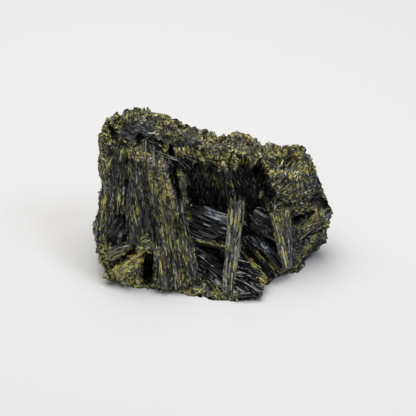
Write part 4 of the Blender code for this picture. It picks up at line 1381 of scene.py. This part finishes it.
# Each row of the frame's own: its line, the count, their size, how far they spread, the way they grow
crusts = {
    "crest": (
        [(-29.4, 4, 39.2), (-26.4, 7.5, 41.0), (-22, 9.6, 41.6), (-14, 10.6, 38.2), (-7, 11, 34.8),
         (1.5, 10.6, 30.2)],
        22, 2.6, 2.4, (-0.1, 0.1, 1),
    ),
    "crest_right": (
        [(3.4, 10.2, 31), (6.8, 9.6, 33.6), (9.6, 9.4, 32), (12, 9.4, 29.0), (17, 8.4, 27.4)],
        13, 2.3, 2.0, (0, 0, 1),
    ),
    "ear": ([(20.0, 7.6, 29.6), (22.2, 7.0, 32), (25.0, 6.4, 29.6)], 8, 2.3, 1.6, (0.3, 0, 1)),
    "brow": (
        [(-12, 3, 34.6), (-5, 4, 33), (1, 4.2, 30.2), (9, 4, 30.2), (14.5, 2.6, 28.6)],
        13, 2.0, 1.4, (0, -0.4, 1),
    ),
    "head": ([(-28, 3, 36.6), (-27.4, 0.6, 35.4), (-24, 0.6, 36)], 6, 1.6, 1.0, (-0.4, -1, 0.8)),
    "gold_edge": (
        [(-17.5, -1.2, 35.4), (-13, -2.8, 31.4), (-10.5, -5.4, 24.8), (-4.8, -12, 5)],
        11, 1.4, 0.7, (0.3, -1, 0.3),
    ),
    "knob": ([(-31.0, -7.4, 10.6), (-28.6, -9.8, 9.6)], 6, 2.2, 1.4, (-0.8, -1, 0.2)),
    "shoulder": ([(22, 3.6, 27), (17, 0.6, 24.4), (14.4, -0.8, 21)], 9, 2.1, 2.0, (0, -1, 0.8)),
    "cheek": (
        [(25, 1.2, 22), (20, -1.8, 20), (24, -1.0, 17.4), (28.6, 2.0, 19)],
        10, 2.2, 2.0, (0.1, -1, 0.5),
    ),
    "right_edge": ([(28.4, 4.6, 20.0), (30.2, 3.0, 16)], 5, 2.0, 0.8, (1, -0.2, 0.6)),
    "rim_gold": ([(31.4, 0.0, 11), (28.2, -1.6, 6.4), (24.4, -3.4, 2.6)], 7, 1.2, 0.4, (0.6, -1, 0)),
    "foot_left": ([(-28.6, -8.2, 3.0), (-25, -10.6, 1.8), (-20, -11.8, 1.4)], 6, 2.4, 1.2, (-0.2, -1, 0.2)),
    "foot_middle": ([(-18.6, -11.6, 1.2), (-9, -13.4, 1.2), (-1.6, -15.6, 1.2)], 8, 2.2, 1.0, (0, -1, 0.3)),
    "foot_front": ([(1, -16.2, 1.0), (6, -17.0, 1.0), (12, -15.6, 1.0)], 7, 1.9, 0.9, (0, -1, 0.4)),
    "foot_right": ([(16.6, -9.4, 1.4), (20, -6.6, 1.6), (25, -4.0, 2.4)], 7, 1.8, 0.9, (0.3, -1, 0.2)),
    "head_corner": ([(-29.8, 3.4, 37.8), (-29.6, 0.8, 36.4)], 4, 2.4, 0.4, (-0.8, -0.6, 0.1)),
    "inner_crust": ([(-8.6, -2.2, 28.6), (-7.8, -4.4, 19.6)], 9, 1.9, 0.4, (0.3, -1, 0.2)),
    "blade_lumps": ([(-25.8, -14.0, 4.4), (-19.6, -14.2, 10.8)], 5, 1.3, 1.0, (-0.3, -1, 0.4)),
    "blade_root": ([(-27.4, -11.4, 3.2), (-24.6, -12.6, 3.4)], 6, 2.8, 1.0, (-0.3, -1, 0.2)),
    "knob_mass": ([(-30.0, -7.6, 9.6), (-28.4, -9.4, 5.6)], 8, 3.2, 1.2, (-0.6, -1, 0.2)),
    "shoulder_small": ([(24.6, 4.4, 28), (19, 1.2, 25.4), (14.8, -0.4, 21.4)], 26, 1.5, 2.8, (0, -1, 0.8)),
    "cheek_small": ([(27, 1.4, 23), (20.4, -1.6, 19.6), (27, -0.4, 17)], 22, 1.4, 2.2, (0.1, -1, 0.5)),
    "back_crust": (
        [(-23, 14.5, 12), (-16, 16.4, 24), (0, 16, 17), (8, 14.4, 25), (20, 12, 14)],
        10, 3.0, 2.4, (0, 1, 0.1),
    ),
}
knob = {
    "sides": 5,
    "place": (0.1, 0.9),      # of a knob, in its share of the line
    "growth": (0.7, 1.3),     # its size over the line's
    "tilt": 0.55,
    "cornerShift": (-0.3, 0.3),
    "reach": 0.55,            # of a corner over the knob's size
    "unevenness": (0.75, 1.15),
    "slant": (-0.5, 0.5),
    "height": (0.36, 0.64),
    "sunk": 1.65,             # mm that the scene's knobs lie deeper than the frame's
    "taper": 0.7,
    "endShare": 0.5,          # width of the ring inside the end
    "cornersPerSide": 4,
    "stations": 9,
    "relief": ((1.1, 0.09, 40), (0.55, 0.08, 41)),
    "ownTone": (0.05, 0.45),  # the tone of a knob where the crust's share is less
    "crusted": 0.5,           # at least
}


def knobsOf(name):
    # The frame's own draws: a place along the line, a step to the side, a tilt, and an uneven
    # five-sided outline that narrows to a slanted end
    line, count, size, spread, outward = crusts[name]
    chance = np.random.default_rng(nameSeed(name))
    line = np.array(line, float)
    walked = walkedLengths(line)
    out = unit(np.array(outward, float))
    made = []
    for k in range(count):
        at = (k + chance.uniform(*knob["place"])) / count * walked[-1]
        foot = np.array([np.interp(at, walked, line[:, axis]) for axis in range(3)])
        aside = chance.uniform(-1, 1, 3) * spread
        foot = foot + aside - out * (aside @ out)
        axis = Vector(unit(out + chance.uniform(-1, 1, 3) * knob["tilt"]))
        grown = size * chance.uniform(*knob["growth"])
        side = axis.orthogonal().normalized()
        front = axis.cross(side)
        shift = chance.uniform(*knob["cornerShift"], knob["sides"])
        angles = (np.arange(knob["sides"]) + shift) / knob["sides"] * math.tau
        reach = grown * knob["reach"] * chance.uniform(*knob["unevenness"], knob["sides"])
        slant = chance.uniform(*knob["slant"], 2)
        height = grown * chance.uniform(*knob["height"])
        made.append((
            foot - out * knob["sunk"], np.array(axis), np.array(side), np.array(front), angles, reach,
            slant, height,
        ))
    return [np.array(column) for column in zip(*made)]


def makeKnobs(names):
    # Each knob: its five-sided outline, finely divided, carried along its axis, then moved by facet
    # relief away from the axis so that it reads as a jumble of smaller crystals
    feet, axes, sides, fronts, angles, reaches, slants, heights = (
        np.concatenate(column) for column in zip(*(knobsOf(name) for name in names))
    )
    count = len(feet)
    ring = np.stack([np.cos(angles) * reaches, np.sin(angles) * reaches], axis=-1)
    t = np.arange(knob["cornersPerSide"])[None, None, :, None] / knob["cornersPerSide"]
    profile = (ring[:, :, None] * (1 - t) + np.roll(ring, -1, axis=1)[:, :, None] * t).reshape(count, -1, 2)
    s = np.linspace(0, 1, knob["stations"])
    swell = 1 + (knob["taper"] - 1) * s
    rise = (2 * s - 1)[None, :, None] * heights[:, None, None] + np.zeros((count, 1, profile.shape[1]))
    x = profile[:, None, :, 0] * swell[:, None]
    y = profile[:, None, :, 1] * swell[:, None]
    rise[:, -1] += x[:, -1] * slants[:, :1] + y[:, -1] * slants[:, 1:]
    x, y = (np.concatenate([u, u[:, -1:] * knob["endShare"]], axis=1) for u in (x, y))
    flatTop = rise[:, -1:].mean(axis=2, keepdims=True)
    rise = np.concatenate([rise, flatTop + (rise[:, -1:] - flatTop) * knob["endShare"]], axis=1)
    way = (
        sides[:, None, None] * x[..., None] + fronts[:, None, None] * y[..., None]
        + axes[:, None, None] * rise[..., None]
    )
    body = feet[:, None, None] + way
    push = unit(way).reshape(-1, 3)
    flat = body.reshape(-1, 3)
    for size, height, seed in knob["relief"]:
        flat = flat + push * (facetRelief(flat, size, seed) * height)[:, None]
    flat, hidden = moulded(flat)
    share, zoneTone = crustShare(flat)[:2]
    leastShare, ownTone = knob["ownTone"]
    tone = np.where(share > leastShare, zoneTone, ownTone)
    # painted shade in the clefts
    tone = tone + patches(flat) * rock["patchTone"] - hidden * rock["caveShade"]
    tones = np.stack([tone, np.maximum(share, knob["crusted"])], axis=-1)
    return tubes(flat.reshape(body.shape), tones.reshape(*body.shape[:3], 2))


knobs = makeKnobs(list(crusts))
putMesh("crust_knobs", knobs, sugaryEpidote)


# Grains: thousands of small crystals scattered over the surfaces made so far

grain = {
    "width": (0.22, 0.55),
    "length": (0.22, 0.46),
    "sunk": 0.64,            # share of the length
    "tilt": 0.34,
    "cornerShift": (-0.25, 0.25),
    "unevenness": (0.75, 1.25),
    "taper": (0.4, 0.95),
    "slant": (-0.6, 0.6),
    "toneSpread": 0.27,
    "patchTone": 0.24,
    "crusted": (0.75, 0.4),  # how crusted they are, and how much the clumps change it
    "lowest": 0.2,           # mm above the table
    "dark": (0.1, 0.5),      # the share that grows is the tone over the first, less the second
    "backFrom": (12, 3),     # y where the back begins, and the span over which it does
}
# The thinner crust of the back: its clumps, how closed and which tone it is, and its share at the ends
backGrain = {
    "clumps": ((5, 1.5, 51),),
    "clumpShare": 0.3,
    "cover": 0.7,
    "tone": 0.42,
    "ends": (27, 3),  # x where the ends begin, and the span
    "endShare": 0.5,
}
# Each layer: how many grains, their seed and whether they lie on the back
grainLayers = {
    "front_crust_a": (13000, 61, False),
    "front_crust_b": (13000, 62, False),
    "back_crust": (8000, 63, True),
}


def scatterPlaces(surfaces, count, seed, onlyBack):
    # Triangles are drawn by their area times the loose grains' share there, then a point evenly in
    # each. The back's own clumps of crust add to that share behind, and caves get none.
    chance = np.random.default_rng(seed)
    offset = np.cumsum([0] + [len(surface[0]) for surface in surfaces[:-1]])
    points = np.vstack([surface[0] for surface in surfaces])
    triangles = np.vstack([splitQuads(surface[1], surface[2]) + o for surface, o in zip(surfaces, offset)])
    a, b, c = (points[triangles[:, k]] for k in range(3))
    cross = np.cross(b - a, c - a)
    area = np.linalg.norm(cross, axis=1) / 2
    middle = (a + b + c) / 3
    tone, share = crustShare(middle)[1:]
    start, span = grain["backFrom"]
    behind = ease((middle[:, 1] - start) / span)
    if onlyBack:
        patchy = ease(noiseSum(middle, backGrain["clumps"]) + backGrain["clumpShare"]) * backGrain["cover"]
        tone = np.where(share > patchy, tone, backGrain["tone"])
        start, span = backGrain["ends"]
        ends = ease((np.abs(middle[:, 0]) - start) / span) * backGrain["endShare"]
        share = np.maximum(share, patchy) * np.maximum(behind, ends)
    else:
        share = share * (1 - behind)
    under = np.concatenate([surface[5][:, 0] for surface in surfaces])[triangles].mean(axis=1)
    span, start = grain["dark"]
    weight = area * share * (middle[:, 2] > grain["lowest"]) * ease(under / span - start)
    drawn = chance.choice(len(triangles), count, p=weight / weight.sum())
    u, v = chance.uniform(0, 1, (2, count))
    flip = u + v > 1
    u, v = np.where(flip, 1 - u, u), np.where(flip, 1 - v, v)
    place = a[drawn] + (b - a)[drawn] * u[:, None] + (c - a)[drawn] * v[:, None]
    return place, unit(cross[drawn]), tone[drawn], chance


def makeGrains(pieceName, surfaces, count, seed, onlyBack):
    # Each grain: an uneven four-sided prism, partly sunk and leaning off the surface's normal
    place, normal, tone, chance = scatterPlaces(surfaces, count, seed, onlyBack)
    axis = unit(normal + chance.normal(0, grain["tilt"], (count, 3)))
    side = unit(np.cross(axis, chance.normal(0, 1, (count, 3))))
    front = np.cross(axis, side)
    width = chance.uniform(*grain["width"], count)
    length = chance.uniform(*grain["length"], count)
    angles = (np.arange(4) + chance.uniform(*grain["cornerShift"], (count, 4))) / 4 * math.tau
    reach = width[:, None] / 2 * chance.uniform(*grain["unevenness"], angles.shape)
    x, y = np.cos(angles) * reach, np.sin(angles) * reach
    taper = chance.uniform(*grain["taper"], count)[:, None]
    slant = chance.uniform(*grain["slant"], (count, 2, 1))
    foot = (x, y, np.tile(-length[:, None] * grain["sunk"], 4))
    head = (x * taper, y * taper, length[:, None] * (1 - grain["sunk"]) + x * slant[:, 0] + y * slant[:, 1])
    ends = [
        place[:, None] + side[:, None] * u[..., None] + front[:, None] * v[..., None]
        + axis[:, None] * w[..., None]
        for u, v, w in (foot, head)
    ]
    points = np.stack(ends, axis=1).reshape(-1, 3)
    points[:, 2] = np.maximum(points[:, 2], 0)
    faces = np.array([[0, 1, 5, 4], [1, 2, 6, 5], [2, 3, 7, 6], [3, 0, 4, 7], [3, 2, 1, 0], [4, 5, 6, 7]])
    quads = (faces[None] + (np.arange(count) * 8)[:, None, None]).reshape(-1, 4)
    tone = tone + chance.normal(0, grain["toneSpread"], count) + patches(place) * grain["patchTone"]
    crusted = np.clip(grain["crusted"][0] + grain["crusted"][1] * patches(place), 0, 1)
    tones = np.repeat(np.stack([tone, crusted], axis=-1), 8, axis=0)
    putMesh(pieceName, (points, quads, np.zeros((0, 3), int), None, None, tones), sugaryEpidote)


frontNames = ("slab_fibres", "crest_needles", "prisms", "vug_needles", "flank_fibres", "back_fibres")
frontSurfaces = [rockShape, knobs] + [fanShapes[pieceName] for pieceName in frontNames]
backSurfaces = [rockShape, knobs, fanShapes["back_fibres"]]
for pieceName, (count, seed, onlyBack) in grainLayers.items():
    makeGrains(pieceName, backSurfaces if onlyBack else frontSurfaces, count, seed, onlyBack)
